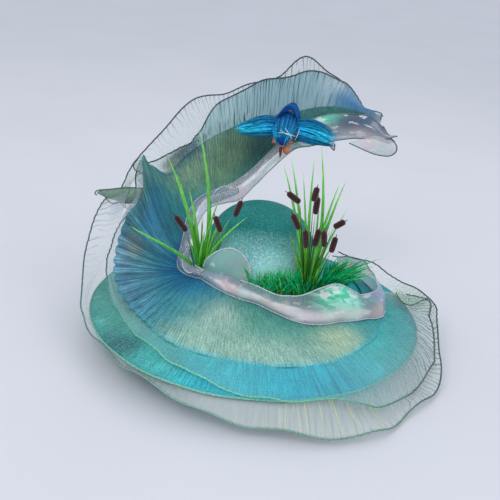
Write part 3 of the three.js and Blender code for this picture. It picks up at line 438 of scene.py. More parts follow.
STRIP_BASE = (60, 150, 148, 1)
STRIP_ZONES = [
    (70, 0.15, 40, 0.25, 80, 150, 136, 1), (112, 0.85, 13, 0.28, 160, 200, 178, 1),
    (95, 0.80, 16, 0.22, 150, 190, 168, 1), (75, 0.85, 16, 0.22, 160, 198, 180, 1),
    (50, 0.70, 11, 0.25, 195, 212, 172, 1), (28, 0.75, 12, 0.35, 70, 165, 160, 1),
    (90, 0.45, 26, 0.18, 95, 165, 145, 1), (108, 0.42, 10, 0.20, 215, 232, 215, 1),
    (126, 0.45, 10, 0.22, 85, 160, 155, 1),
    (0, 0.50, 25, 0.60, 45, 150, 160, 1), (141, 0.16, 18, 0.26, 0, 122, 172, 1),
    (165, 0.20, 14, 0.22, 0, 114, 165, 1), (135, 0.60, 10, 0.20, 50, 150, 170, 1),
    (148, 0.85, 9, 0.20, 85, 160, 190, 1), (157, 0.95, 9, 0.14, 130, 185, 220, 1),
    (166, 0.72, 8, 0.22, 95, 160, 185, 1), (174, 0.95, 8, 0.15, 140, 180, 215, 1),
    (180, 0.78, 5, 0.12, 140, 150, 135, 1), (184, 0.15, 8, 0.20, 15, 100, 145, 1),
    (187, 0.50, 7, 0.22, 75, 150, 175, 1), (194, 0.66, 6, 0.16, 75, 160, 215, 1),
    (192, 0.95, 6, 0.12, 90, 140, 150, 1), (203, 0.36, 8, 0.22, 30, 115, 130, 1),
    (200, 0.92, 5, 0.16, 105, 150, 130, 1), (197, 0.60, 5, 0.20, 40, 110, 115, 1),
    # The olive zones from turn 213 to 250 are the gold straw's colour, partly darkened by painted shade on the
    # wave's inner face
    (213, 0.50, 8, 0.25, 95, 145, 120, 1),
    (222, 0.70, 9, 0.25, 130, 155, 125, 1), (214, 0.92, 6, 0.10, 60, 115, 145, 1),
    (236, 0.88, 9, 0.18, 125, 150, 125, 1), (240, 0.45, 12, 0.28, 115, 145, 105, 1),
    # The near-black zone at turn 266 is a painted shadow under the bird's left wing
    (250, 0.70, 9, 0.24, 105, 125, 90, 1), (266, 0.50, 11, 0.40, 12, 28, 22, 1),
    (230, 0.98, 7, 0.08, 70, 120, 145, 1), (300, 0.50, 26, 0.60, 66, 104, 98, 1),
]

BRIM_BASE = (50, 168, 170, 1)
BRIM_ZONES = [
    (72, 0.95, 26, 0.30, 0, 190, 222, 1), (96, 0.93, 14, 0.25, 20, 192, 205, 1),
    (122, 0.90, 9, 0.30, 60, 172, 165, 1), (136, 0.93, 5, 0.10, 0, 75, 90, 1),
    (133, 0.88, 4, 0.08, 0, 80, 95, 1), (140, 0.94, 5, 0.08, 0, 85, 95, 1),
    (150, 0.70, 18, 0.25, 85, 165, 150, 1), (175, 0.90, 16, 0.30, 90, 160, 145, 1),
    (20, 0.90, 24, 0.35, 20, 170, 172, 1), (30, 0.70, 24, 0.25, 45, 185, 178, 1),
    (270, 0.60, 60, 0.80, 44, 140, 150, 1), (5, 0.98, 16, 0.08, 30, 150, 170, 1),
]

UPPER_BASE = (228, 240, 238, 0.16)
UPPER_ZONES = [
    (100, 0.50, 40, 0.60, 110, 205, 205, 0.13), (74, 0.60, 16, 0.50, 30, 205, 222, 0.18),
    (20, 0.30, 28, 0.35, 90, 200, 196, 0.10), (20, 0.95, 28, 0.30, 224, 240, 236, 0.20),
    (165, 0.60, 18, 0.60, 170, 200, 205, 0.20), (188, 0.50, 8, 0.60, 150, 180, 190, 0.28),
    (200, 0.70, 3, 0.60, 110, 160, 145, 0.45), (209, 0.50, 6, 0.50, 190, 216, 210, 0.16),
    (220, 0.35, 4, 0.40, 112, 140, 116, 0.74), (226, 0.40, 4, 0.50, 92, 126, 112, 0.80),
    (231, 0.45, 4, 0.50, 60, 116, 160, 0.76),
    (245, 0.60, 14, 0.60, 135, 190, 192, 0.52), (268, 0.60, 16, 0.60, 110, 172, 185, 0.62),
    (288, 0.60, 14, 0.60, 115, 172, 185, 0.58), (268, 0.20, 30, 0.18, 85, 135, 135, 0.72),
    (303, 0.45, 5, 0.35, 0, 122, 176, 0.95), (308, 0.55, 6, 0.45, 0, 122, 176, 0.97),
    (314, 0.50, 7, 0.50, 0, 112, 168, 0.97), (321, 0.50, 6, 0.50, 0, 108, 160, 0.96),
    (298, 0.92, 7, 0.16, 170, 196, 208, 0.20), (-10, 0.80, 7, 0.30, 150, 185, 160, 0.45),
    (5, 0.25, 12, 0.25, 90, 170, 170, 0.20),
]

LOWER_BASE = (232, 240, 240, 0.16)
LOWER_ZONES = [
    (88, 0.60, 24, 0.60, 232, 242, 238, 0.46), (48, 0.60, 16, 0.60, 232, 242, 240, 0.30),
    (15, 0.60, 18, 0.60, 222, 238, 232, 0.20), (-12, 0.70, 12, 0.50, 190, 222, 206, 0.28),
    (124, 0.60, 14, 0.60, 190, 208, 204, 0.34), (202, 0.72, 6, 0.50, 160, 180, 160, 0.45),
    (196, 0.20, 6, 0.30, 110, 140, 150, 0.40), (240, 0.60, 20, 0.60, 205, 222, 224, 0.16),
    (280, 0.70, 20, 0.60, 190, 212, 214, 0.18), (180, 0.60, 10, 0.60, 208, 220, 220, 0.13),
]

TRIM_BASE = (190, 198, 214, 0.40)
TRIM_ZONES = [
    (113, 0.40, 12, 0.20, 250, 222, 218, 0.90), (97, 0.40, 7, 0.18, 244, 255, 250, 0.95),
    (85, 0.36, 7, 0.17, 252, 224, 216, 0.92), (73, 0.31, 7, 0.16, 255, 255, 244, 0.95),
    (61, 0.26, 7, 0.15, 252, 236, 240, 0.94), (46, 0.21, 10, 0.14, 248, 252, 248, 0.95),
    (33, 0.18, 6, 0.16, 246, 250, 236, 0.94), (80, 0.00, 30, 0.10, 165, 178, 195, 0.50),
    (84, 0.90, 16, 0.22, 150, 190, 190, 0.34), (56, 0.85, 8, 0.30, 120, 168, 165, 0.36),
    (46, 0.70, 8, 0.28, 110, 255, 205, 0.90), (34, 0.66, 5, 0.38, 150, 255, 225, 0.97),
    (22, 0.65, 5, 0.40, 120, 170, 168, 0.50), (17, 0.25, 5, 0.25, 235, 205, 196, 0.80),
    # The zone at turn -25 is painted near white, lighter than the ribbon's own pale lilac, as painted light on a
    # band that faces away from the lamps
    (6, 0.50, 8, 0.60, 160, 174, 212, 0.55), (-25, 0.50, 17, 0.60, 250, 250, 255, 0.42),
    (134, 0.50, 10, 0.60, 170, 182, 205, 0.45), (165, 0.50, 24, 0.60, 165, 180, 202, 0.30),
    (215, 0.60, 24, 0.60, 165, 178, 196, 0.32), (252, 0.60, 14, 0.60, 214, 200, 200, 0.40),
    (268, 0.50, 10, 0.60, 176, 190, 192, 0.40),
    (286, 0.30, 8, 0.40, 60, 235, 180, 0.94), (297, 0.20, 8, 0.34, 90, 250, 200, 0.95),
    (294, 0.80, 12, 0.30, 232, 214, 224, 0.60), (311, 0.25, 9, 0.38, 4, 64, 90, 0.96),
    (315, 0.32, 9, 0.34, 8, 70, 98, 0.96), (322, 0.28, 8, 0.32, 20, 82, 118, 0.94),
    (322, 0.85, 10, 0.30, 238, 226, 234, 0.70),
]


def tint(base, zones, turn, share):
    """Colour and opacity at each point, blended from the zones around it."""
    weight = np.full(turn.shape, 0.22)
    total = weight[..., None] * np.array([*linear(*base[:3]), base[3]])
    for middle, level, turn_reach, share_reach, red, green, blue, opacity in zones:
        offset = (turn - middle + 180) % 360 - 180 if base is BRIM_BASE else turn - middle
        pull = np.exp(-(offset / turn_reach) ** 2 - ((share - level) / share_reach) ** 2)
        total = total + pull[..., None] * np.array([*linear(red, green, blue), opacity])
        weight = weight + pull
    return total / weight[..., None]


# ---------------------------------------------------------------- meshes

# Faces along and across each sheet
BRIM_GRID, STRIP_GRID, RUFFLE_GRID, TRIM_GRID, FLAP_GRID = (1080, 20), (1730, 22), (1250, 16), (760, 14), (60, 12)
THIN_WALL = 0.15  # share of the wall's thickness where a sheet is thin
CORD_ROUNDNESS = 2  # gives a cord eight sides


def new_object(name, mesh):
    piece = bpy.data.objects.new(name, mesh)
    bpy.context.scene.collection.objects.link(piece)
    return piece


def mesh_of(bm, name):
    mesh = bpy.data.meshes.new(name)
    bm.to_mesh(mesh)
    bm.free()
    return mesh


def finished(bm, name):
    """The bmesh as a new smooth object, with its normals left as they are."""
    mesh = mesh_of(bm, name)
    mesh.shade_smooth()
    return new_object(name, mesh)


def walled(piece, thickness, offset):
    """Give the piece a wall, to both sides where offset is 0 and inwards where it is -1."""
    wall = piece.modifiers.new("Wall", "SOLIDIFY")
    wall.thickness = thickness
    wall.offset = offset
    wall.use_even_offset = False
    return wall


def points_of(mesh):
    """The mesh's points in metres, one row each."""
    flat = np.empty(len(mesh.vertices) * 3, np.float32)
    mesh.vertices.foreach_get("co", flat)
    return flat.reshape(-1, 3).astype(float)


def move_points(mesh, points):
    mesh.vertices.foreach_set("co", np.ascontiguousarray(points, np.float32).ravel())
    mesh.update()


def paint_points(mesh, colours, marks=None):
    """Paint "tint", colour and opacity, and "mark": broad strokes in red, which on straw give the strength of the
    painted shade in its grooves, painted glints in green, fine lines in blue.

    colours is one row or a row for each point, of three numbers where it is opaque.
    """
    count = len(mesh.vertices)
    layers = {"tint": np.broadcast_to(colours, (count, np.shape(colours)[-1]))}
    if marks is not None:
        layers["mark"] = np.stack([np.broadcast_to(part, count) for part in marks], axis=-1)
    for name, paint in layers.items():
        if paint.shape[1] == 3:
            paint = np.column_stack([paint, np.ones(count)])
        layer = mesh.color_attributes.new(name, "FLOAT_COLOR", "POINT")
        layer.data.foreach_set("color", np.ascontiguousarray(paint, np.float32).ravel())


def sheet_piece(name, grid, surface, colours, wall, marks, closed=False, thin=None):
    """A sheet: a grid bent onto surface(along, across), painted, with a wall that is thinner where thin says so."""
    bm = bmesh.new()
    bm.loops.layers.uv.new("UVMap")
    bmesh.ops.create_grid(bm, x_segments=grid[0], y_segments=grid[1], size=0.5, calc_uvs=True)
    piece = finished(bm, name)
    flat = points_of(piece.data)
    along, across = flat[:, 0] + 0.5, flat[:, 1] + 0.5
    move_points(piece.data, surface(along, across) * MM)
    paint_points(piece.data, colours(along, across), marks(along, across))
    if closed:
        bm = bmesh.new()
        bm.from_mesh(piece.data)
        bmesh.ops.remove_doubles(bm, verts=bm.verts, dist=1e-6)
        bm.to_mesh(piece.data)
        bm.free()
    modifier = walled(piece, wall, 0)
    if thin:
        group = piece.vertex_groups.new(name="wall")
        group.add(np.flatnonzero(~thin(along, across)).tolist(), 1, "REPLACE")
        modifier.vertex_group = group.name
        modifier.thickness_vertex_group = THIN_WALL
    return piece


def turn_of(points):
    return np.degrees(np.arctan2(-points[:, 1], points[:, 0])) % 360


def tube_piece(name, path, radius, stops, closed=False):
    """A round cord along a path of points in metres, painted by stops: a turn and a colour each."""
    curve = bpy.data.curves.new(name, "CURVE")
    curve.dimensions = "3D"
    curve.bevel_depth = radius
    curve.bevel_resolution = CORD_ROUNDNESS
    curve.use_fill_caps = not closed
    spline = curve.splines.new("POLY")
    spline.points.add(len(path) - 1)
    spline.points.foreach_set("co", np.concatenate([path, np.ones((len(path), 1))], axis=1).ravel())
    spline.use_cyclic_u = closed
    rough = new_object(name + "_path", curve)
    bpy.context.view_layer.update()
    mesh = bpy.data.meshes.new_from_object(rough.evaluated_get(bpy.context.evaluated_depsgraph_get()))
    bpy.data.objects.remove(rough)
    bpy.data.curves.remove(curve)
    mesh.name = name
    mesh.shade_smooth()
    turns, colours = [stop[0] for stop in stops], np.array([linear(*stop[1]) for stop in stops])
    shade = np.stack([np.interp(turn_of(points_of(mesh)), turns, colours[:, k]) for k in range(3)], axis=-1)
    paint_points(mesh, shade)
    return new_object(name, mesh)


def edge_cord(name, shape, across, grid, radius, stops, material, slot):
    """A cord sewn along a sheet's edge at a share across it."""
    along = np.linspace(0, 1, grid[0] + 1)
    return settle(tube_piece(name, shape(along, across + 0 * along) * MM, radius, stops), material, slot)


def settle(piece, material, slot, *nodes):
    """Give the piece its material and body, and hide the solids it stands for. The slot is not used."""
    piece.data.materials.clear()
    piece.data.materials.append(material)
    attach(piece, ROOT)
    if nodes:
        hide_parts(*nodes)
    return piece


def curve_weights(degree, along):
    """Shares of a Bezier curve's control points in its points along."""
    return np.stack([math.comb(degree, k) * along ** k * (1 - along) ** (degree - k)
                     for k in range(degree + 1)], axis=-1)


def stalks_piece(name, paths, widths, colours, thickness, steps=10, fold=0.25, waist=0.55):
    """Many flat stalks in one mesh: each is a slim box bent along its path.

    paths has three or four control points for each stalk and widths one number or a number for each, both in
    millimetres. colours has the feet's colour and the tips', each one colour or a colour for each stalk.
    """
    template = bmesh.new()
    bmesh.ops.create_cube(template, size=1)
    for axis, cuts in ((2, steps - 1), (0, 1)):
        split = [edge for edge in template.edges if abs(edge.verts[0].co[axis] - edge.verts[1].co[axis]) > 0.5]
        bmesh.ops.subdivide_edges(template, edges=split, cuts=cuts, use_grid_fill=True)
    single = mesh_of(template, "single")
    shape = points_of(single)
    bm = bmesh.new()
    for _ in paths:
        bm.from_mesh(single)
    piece = finished(bm, name)
    bpy.data.meshes.remove(single)

    along = np.clip(shape[:, 2] + 0.5, 0, 1)
    degree = paths.shape[1] - 1
    centre = np.einsum("vk,skc->svc", curve_weights(degree, along), paths * MM)
    tangent = unit(np.einsum("vk,skc->svc", curve_weights(degree - 1, along), np.diff(paths * MM, axis=1)))
    side = unit(np.cross((0.0, 1.0, 0.0), tangent))
    front = np.cross(tangent, side)
    taper = (1 - along ** 3) * (waist + (1 - waist) * np.sin(np.pi * np.clip(along * 1.3, 0, 0.5))) + 0.02
    widths = np.broadcast_to(widths, len(paths))[:, None] * MM
    across = shape[:, 0] * taper * widths
    keel = fold * np.abs(shape[:, 0]) * taper * widths
    depth = shape[:, 1] * thickness * (0.3 + 0.7 * taper) + keel
    points = centre + side * across[..., None] + front * depth[..., None]
    move_points(piece.data, points.reshape(-1, 3))
    foot, tip = (np.broadcast_to(part, (len(paths), 3))[:, None] for part in colours)
    paint_points(piece.data, blend(foot, tip, (along ** 1.3)[None, :, None]).reshape(-1, 3))
    return piece


# ---------------------------------------------------------------- materials

class Shader:
    """A procedural material in the making. Most of its methods add a node and return that node's output."""

    def __init__(self, name):
        self.material = bpy.data.materials.new(name)
        self.material.use_nodes = True
        self.tree = self.material.node_tree
        self.tree.nodes.clear()

    def node(self, kind, settings=(), **inputs):
        """A node with its settings and its inputs, by name or, as i0, by number: values or other nodes' outputs."""
        made = self.tree.nodes.new("ShaderNode" + kind)
        for key, value in dict(settings).items():
            setattr(made, key, value)
        for key, value in inputs.items():
            socket = made.inputs[int(key[1:]) if key[1:].isdigit() else key.replace("_", " ")]
            if isinstance(value, bpy.types.NodeSocket):
                self.tree.links.new(value, socket)
            else:
                socket.default_value = value
        return made

    def finish(self, **surface):
        """Close the material with its surface and return it."""
        self.node("OutputMaterial", Surface=self.node("BsdfPrincipled", **surface).outputs[0])
        return self.material

    def painted(self, name="tint"):
        """The colour and the alpha of a painted attribute."""
        outputs = self.node("Attribute", {"attribute_name": name}).outputs
        return outputs["Color"], outputs["Alpha"]

    def parts(self, colour):
        return tuple(self.node("SeparateColor", Color=colour).outputs)

    def place(self, kind="Object"):
        return self.node("TexCoord").outputs[kind]

    def cells(self, where, counts, lean=(0, 0, 0)):
        return self.node("Mapping", i0=where, i2=lean, i3=counts).outputs[0]

    def noise(self, where, scale, detail=1, roughness=0.5):
        return self.node("TexNoise", Vector=where, Scale=scale, Detail=detail, Roughness=roughness).outputs[0]

    def streaks(self, where, along, across, detail=2, roughness=0.5):
        """Noise with so many cells along and across a sheet's UV square."""
        return self.noise(self.cells(where, (along, across, 1)), 1, detail, roughness)

    def maths(self, operation, first, second):
        return self.node("Math", {"operation": operation}, i0=first, i1=second).outputs[0]

    def product(self, first, second):
        return self.maths("MULTIPLY", first, second)

    def total(self, first, second):
        return self.maths("ADD", first, second)

    def ramp(self, value, low, high, first=0, last=1):
        """The value taken from the range low to high into the range first to last."""
        return self.node("MapRange", Value=value, From_Min=low, From_Max=high, To_Min=first, To_Max=last).outputs[0]

    def mixed(self, factor, first, second, mode="MIX"):
        first, second = (value if isinstance(value, bpy.types.NodeSocket) else (*value, 1)
                         for value in (first, second))
        return self.node("Mix", {"data_type": "RGBA", "blend_type": mode}, i0=factor, i6=first, i7=second).outputs[2]

    def times(self, colour, *factors):
        return self.mixed(1.0, colour, factors, "MULTIPLY")

    def bump(self, height, strength, distance):
        return self.node("Bump", Strength=strength, Distance=distance, Height=height).outputs[0]


def straw_material(name, fibres, grooves, pale, grain_scale=760):
    """Woven straw: the painted tint with fibres, painted shade in the grooves where marked, and painted glints of
    the pale colour where marked.

    fibres and grooves are their cells along and across the UV square.
    """
    shader = Shader(name)
    paint, _ = shader.painted()
    # The mark's red is the strength of the painted shade in the grooves, its green that of the painted glints
    strokes, glints, _ = shader.parts(shader.painted("mark")[0])
    where, body = shader.place("UV"), shader.place()
    crossed = shader.maths("MAXIMUM", *(shader.noise(shader.cells(body, (1500, 230, 900), (0, 0, lean)), 1)
                                        for lean in (0.9, -0.9)))
    fibre = shader.total(shader.product(shader.streaks(where, *fibres), 0.5), shader.product(crossed, 0.5))
    groove = shader.streaks(where, *grooves, 3, 0.6)
    cloud = shader.noise(body, 26, 3, 0.65)
    grain = shader.noise(body, grain_scale, 2, 0.7)
    light = shader.mixed(0.015, shader.times(paint, 1.45, 1.4, 1.35), pale)
    coloured = shader.mixed(shader.ramp(fibre, 0.4, 0.66), shader.times(paint, 0.5, 0.58, 0.62), light)
    coloured = shader.mixed(shader.ramp(cloud, 0.35, 0.7), shader.times(coloured, 0.78, 0.84, 0.86),
                            shader.times(coloured, 1.18, 1.14, 1.12))
    # Painted shade: the grooves are darkened where the mark's red says so
    shaded = shader.product(shader.ramp(groove, 0.56, 0.4), strokes)
    coloured = shader.mixed(shaded, coloured, shader.times(paint, 0.25, 0.36, 0.44))
    # Painted glints: pale specks where the mark's green says so
    coloured = shader.mixed(shader.product(shader.ramp(grain, 0.5, 0.64), glints), coloured, pale)
    relief = shader.total(fibre, shader.product(grain, 0.6))
    return shader.finish(Base_Color=coloured, Roughness=shader.ramp(grain, 0.3, 0.7, 0.7, 0.5),
                         Normal=shader.bump(relief, 0.5, 0.0006), Specular_IOR_Level=0.12)


def organza_material(name, strokes, colour, glint):
    """Sheer cloth: the painted tint and opacity, with thin strokes and painted glints along its pleats where marked.

    strokes is the count of stroke cells along the cloth.
    """
    shader = Shader(name)
    paint, opacity = shader.painted()
    broad, bright, fine = shader.parts(shader.painted("mark")[0])
    straight = shader.place("UV")
    bent = shader.node("TexNoise", Vector=straight, Scale=9, Detail=1).outputs["Color"]
    where = shader.mixed(0.0015, straight, bent, "ADD")
    sway = shader.product(shader.streaks(where, strokes * 0.06, 0.8), 5.0)
    along, across, _ = shader.node("SeparateXYZ", Vector=where).outputs
    slanted = shader.total(along, shader.product(shader.ramp(along, 0, 1, -0.016, 0.016), across))
    phase = shader.total(shader.product(slanted, strokes * 0.42), sway)
    line = shader.maths("PINGPONG", phase, 0.5)
    patch = shader.streaks(where, strokes * 0.4, 2.2, 2, 0.6)
    hair = shader.streaks(where, strokes * 1.7, 1.3, 1, 0.4)
    thin = shader.product(shader.product(shader.ramp(line, 0.37, 0.44), shader.ramp(patch, 0.36, 0.47)), broad)
    stroke = shader.maths("MAXIMUM", thin, shader.product(shader.ramp(hair, 0.56, 0.63), fine))
    # Painted glints: pale yellow-green streaks where the mark's green says so
    bright = shader.product(shader.ramp(shader.streaks(straight, strokes * 1.6, 0.8, 1), 0.6, 0.66), bright)
    opacity = shader.total(shader.total(opacity, shader.product(stroke, 0.75)), shader.product(bright, 0.5))
    coloured = shader.mixed(bright, shader.mixed(stroke, paint, colour), glint)
    weave = shader.noise(shader.place(), 1500)
    return shader.finish(Base_Color=coloured, Roughness=0.45, Normal=shader.bump(weave, 0.2, 0.0003),
                         Alpha=shader.node("Clamp", Value=opacity).outputs[0], Specular_IOR_Level=0.2)


def film_material(name, creases=(30, 3.0)):
    """Iridescent ribbon: a pearly tint in long satin folds that turns pink, mint and cream, half see-through, with
    painted highlights along the folds, painted shade in the creases and, where marked, painted shade and highlights
    on crinkled mint facets.
    """
    shader = Shader(name)
    paint, opacity = shader.painted()
    where, body = shader.place("UV"), shader.place()
    crease = shader.streaks(where, *creases, 3, 0.6)
    cells = shader.cells(body, (56, 150, 190), (0.3, 0.5, 0.6))
    facet = shader.node("TexVoronoi", {"feature": "F1"}, Vector=cells, Scale=1, Randomness=1).outputs["Color"]
    facet = shader.parts(facet)[0]
    glints = shader.parts(shader.painted("mark")[0])[1]
    rosy = shader.mixed(shader.ramp(shader.noise(body, 34), 0.42, 0.58), (1.04, 0.93, 0.94), (0.92, 1.04, 1.0))
    tinted = shader.mixed(1.0, paint, rosy, "MULTIPLY")
    # The crinkled film's own mint, with painted shade on half its facets and painted highlights in pale mint on a
    # few, where the mark's green says so
    tinted = shader.mixed(shader.product(shader.ramp(facet, 0.45, 0.55), glints), tinted,
                          shader.times(tinted, 0.22, 0.78, 0.58))
    tinted = shader.mixed(shader.product(shader.ramp(facet, 0.24, 0.21), glints), tinted, (0.6, 1.0, 0.84))
    # Painted highlight: white streaks along the folds' crests
    shine = shader.mixed(shader.ramp(crease, 0.565, 0.61), tinted, shader.mixed(0.72, tinted, (1.0, 1.0, 0.97)))
    # Painted shade: darker in the creases
    crease_shade = shader.mixed(shader.ramp(crease, 0.44, 0.3), shine, shader.times(tinted, 0.82, 0.86, 0.92))
    return shader.finish(Base_Color=crease_shade, Roughness=0.22, Normal=shader.bump(crease, 0.6, 0.0015), Alpha=opacity,
                         Specular_IOR_Level=0.6, Coat_Weight=0.4, Coat_Roughness=0.12)


def cord_material(name, roughness=0.45):
    """A twisted thread in its painted tint."""
    shader = Shader(name)
    paint, _ = shader.painted()
    twist = shader.noise(shader.place(), 420, 2)
    coloured = shader.mixed(shader.ramp(twist, 0.35, 0.65), shader.times(paint, 0.6, 0.6, 0.6), paint)
    return shader.finish(Base_Color=coloured, Roughness=roughness, Normal=shader.bump(twist, 0.6, 0.0005),
                         Specular_IOR_Level=0.5)


def strand_material(name, roughness, streaks, lighten, gloss=0.4):
    """Plant or raffia strands: painted tint with fine streaks, so many a metre along each axis."""
    shader = Shader(name)
    paint, _ = shader.painted()
    streak = shader.noise(shader.cells(shader.place(), streaks), 1, 2, 0.6)
    coloured = shader.mixed(shader.ramp(streak, 0.35, 0.7), shader.times(paint, 0.6, 0.6, 0.6),
                            shader.times(paint, *[1 + lighten] * 3))
    return shader.finish(Base_Color=coloured, Roughness=roughness, Normal=shader.bump(streak, 0.4, 0.0004),
                         Specular_IOR_Level=gloss)


def velvet_material(name, dark, light):
    """Velvety cattail head: fine nap with a soft sheen."""
    shader = Shader(name)
    nap = shader.noise(shader.place(), 900, 2, 0.7)
    return shader.finish(Base_Color=shader.mixed(shader.ramp(nap, 0.4, 0.7), dark, light), Roughness=0.85,
                         Normal=shader.bump(nap, 0.9, 0.0008), Sheen_Weight=0.4, Sheen_Roughness=0.5,
                         Specular_IOR_Level=0.2)


def plain_stage_material(name, colour):
    """Matt paper for the floor, very slightly uneven in tone."""
    shader = Shader(name)
    cloud = shader.noise(shader.place(), 3, 2)
    coloured = shader.mixed(shader.ramp(cloud, 0.3, 0.7), colour, tuple(value * 0.97 for value in colour))
    return shader.finish(Base_Color=coloured, Roughness=0.9, Specular_IOR_Level=0.1)


# ---------------------------------------------------------------- settings

def size(name, description, default):
    return FloatProperty(name=name, description=description, default=default, min=0.0001, max=0.05,
                         unit="LENGTH", precision=4)


def colour(name, description, red, green, blue):
    return FloatVectorProperty(name=name, description=description, default=tuple(linear(red, green, blue)),
                               subtype="COLOR", size=3, min=0, max=1)


class HatSizes(bpy.types.PropertyGroup):
    strip_wall: size("Strip wall", "Thickness of the pleated strip", 0.001)
    organza_wall: size("Organza wall", "Thickness of the sheer ruffles", 0.0004)
    trim_wall: size("Trim wall", "Thickness of the iridescent trim", 0.0004)
    hem_radius: size("Hem radius", "Radius of the cord sewn into a ruffle's hem", 0.0012)
    wire_radius: size("Wire radius", "Radius of the wired edge of the trim", 0.001)
    brim_cord: size("Brim cord", "Radius of the twisted cord round the rim", 0.0013)


class HatCounts(bpy.types.PropertyGroup):
    grass_blades: IntProperty(name="Grass blades", description="Blades in all the tufts", default=1000, min=10)
    wing_strands: IntProperty(name="Wing strands", description="Raffia strands in each wing", default=90, min=10)


class HatColours(bpy.types.PropertyGroup):
    # The pale colour of the painted glints on the woven straw
    painted_glint: colour("Sparkle", "Pale glints of the woven straw", 205, 236, 222)
    stroke: colour("Stroke", "Thin lines along the organza's pleats", 30, 70, 78)
    cattail_dark: colour("Cattail, dark", "Depth of a cattail head's nap", 34, 14, 18)
    cattail_light: colour("Cattail, light", "Tips of a cattail head's nap", 92, 42, 46)
    floor: colour("Floor", "The pale floor and backdrop", 226, 228, 232)


# ---------------------------------------------------------------- operators

def turned(bm, profile, segments, scale=(1, 1, 1)):
    """Spin a profile of radius and height, in millimetres, about Z into an oval shell in metres."""
    verts = [bm.verts.new((radius * MM, 0, height * MM)) for radius, height in profile]
    edges = [bm.edges.new(pair) for pair in zip(verts, verts[1:])]
    bmesh.ops.spin(bm, geom=verts + edges, axis=(0, 0, 1), cent=(0, 0, 0), angle=2 * math.pi,
                   steps=segments, use_merge=True, use_duplicate=False)
    bmesh.ops.remove_doubles(bm, verts=bm.verts, dist=1e-5)
    bmesh.ops.scale(bm, vec=scale, verts=bm.verts)
    bmesh.ops.recalc_face_normals(bm, faces=bm.faces)


class HAT_OT_crown(bpy.types.Operator):
    """Builds the crown's dome of woven straw"""

    bl_idname = "hat.crown"
    bl_label = "Crown"

    def execute(self, context):
        sweeps = np.radians(np.linspace(0, 90, 40))
        reach = np.cos(sweeps).clip(0) ** (2 / CROWN_FULLNESS)
        rise = np.sin(sweeps) ** (2 / CROWN_FULLNESS)
        profile = [(CROWN_HALF_WIDTH * r, blend(CROWN_FOOT, CROWN_HEIGHT, h)) for r, h in zip(reach, rise)]
        profile[-1] = (0, CROWN_HEIGHT)
        bm = bmesh.new()
        turned(bm, profile, 128, (1, CROWN_HALF_DEPTH / CROWN_HALF_WIDTH, 1))
        piece = finished(bm, "crown_dome")
        points = points_of(piece.data) / MM
        # Painted highlight: the crown's teal is painted lighter towards the lower front, and the painted glints (the
        # mark's green) are strongest there
        front = np.clip((105 - points[:, 1] - 1.5 * points[:, 2]) / 150, 0, 1) ** 1.2
        colours = blend(linear(18, 122, 118), linear(178, 248, 248), front[:, None])
        paint_points(piece.data, colours, (0, 0.08 + 1.15 * front, 0))
        walled(piece, CROWN_WALL, -1)
        material = straw_material("crown_straw", (1, 1), (1, 1), context.scene.hat_colours.painted_glint, 360)
        settle(piece, material, "crown_straw", "crown")
        return {"FINISHED"}


class HAT_OT_brim(bpy.types.Operator):
    """Builds the brim's disc and the cord round its rim"""

    bl_idname = "hat.brim"
    bl_label = "Brim"

    def execute(self, context):
        colours = context.scene.hat_colours
        sizes = context.scene.hat_sizes

        def surface(along, across):
            turn = 360 * along
            angle = -np.radians(turn)
            swell = 0.5 * across * np.sin(np.radians(turn) * 17) + 0.35 * across * pleat(turn / 1.5)
            return place(turn, blend(crown_radius(angle) + 0.2, rim_radius(angle), across), swell)

        def marks(along, across):
            # Strength of the painted shade in the grooves, strongest at the front right, then of the painted glints
            return 0.05 + 1.3 * near(360 * along, 64, 10) * across ** 3, 0.35 * near(360 * along, 100, 90), 0.0

        shade = lambda along, across: tint(BRIM_BASE, BRIM_ZONES, 360 * along, across)
        piece = sheet_piece("brim_disc", BRIM_GRID, surface, shade, BRIM_WALL, marks, closed=True)
        settle(piece, straw_material("brim_straw", (900, 6), (330, 0.9), colours.painted_glint), "brim_straw", "brim")

        around = np.linspace(0, 1, 361)[:-1]
        stops = ((0, (90, 160, 150)), (60, (120, 205, 180)), (100, (150, 220, 190)), (170, (120, 180, 160)),
                 (360, (90, 160, 150)))
        cord = tube_piece("brim_cord", surface(around, 1 + 0 * around) * MM, sizes.brim_cord, stops, closed=True)
        settle(cord, cord_material("brim_thread"), "brim_straw")
        return {"FINISHED"}


class HAT_OT_strip(bpy.types.Operator):
    """Builds the pleated strip that spirals round the crown and rises behind it"""

    bl_idname = "hat.strip"
    bl_label = "Pleated strip"

    def execute(self, context):
        def colours(outer, across):
            painted = tint(STRIP_BASE, STRIP_ZONES, folded_turn(outer, across), across)
            ends = near(outer, 160, 32) * np.clip(across - 0.15, 0, 1)
            # Painted shade: darker in the pleats' valleys and in the broad folds at the lobed ends
            valley_shade = 1 - (0.2 + 0.3 * near(outer, 165, 45)) * (1 - pleat(outer / PLEAT_PERIOD, 0.6))
            groove = 1 - np.clip(1.1 * ends, 0, 0.8) * (1 - broad_folds(outer, 0.5))
            painted[:, :3] *= (valley_shade * groove)[:, None]
            fade = np.clip((across - 0.9) / 0.1, 0, 1) ** 1.5 * near(outer, 55, 75) ** 0.5
            painted[:, :3] = blend(painted[:, :3], linear(80, 196, 205), fade[:, None])
            return painted

        def marks(outer, across):
            # Strength of the painted shade in the grooves, then of the painted glints on the gold front
            dark = 0.75 * near(outer, 172, 36) + 0.2 * near(outer, 235, 30) + 0.04
            return dark, 0.55 * near(outer, 88, 40) * near(across, 0.85, 0.4) + 0.08, 0.0

        wall = context.scene.hat_sizes.strip_wall
        surface, colours, marks, thin = (spread(STRIP, function) for function in (
            strip_surface, colours, marks, lambda outer, across: (across > 0.94) & (outer < 140)))
        piece = sheet_piece("strip_cloth", STRIP_GRID, surface, colours, wall, marks, thin=thin)
        material = straw_material("pleated_straw", (760, 7), (230, 0.8), context.scene.hat_colours.painted_glint)
        settle(piece, material, "pleated_straw", "pleated_strip")
        return {"FINISHED"}


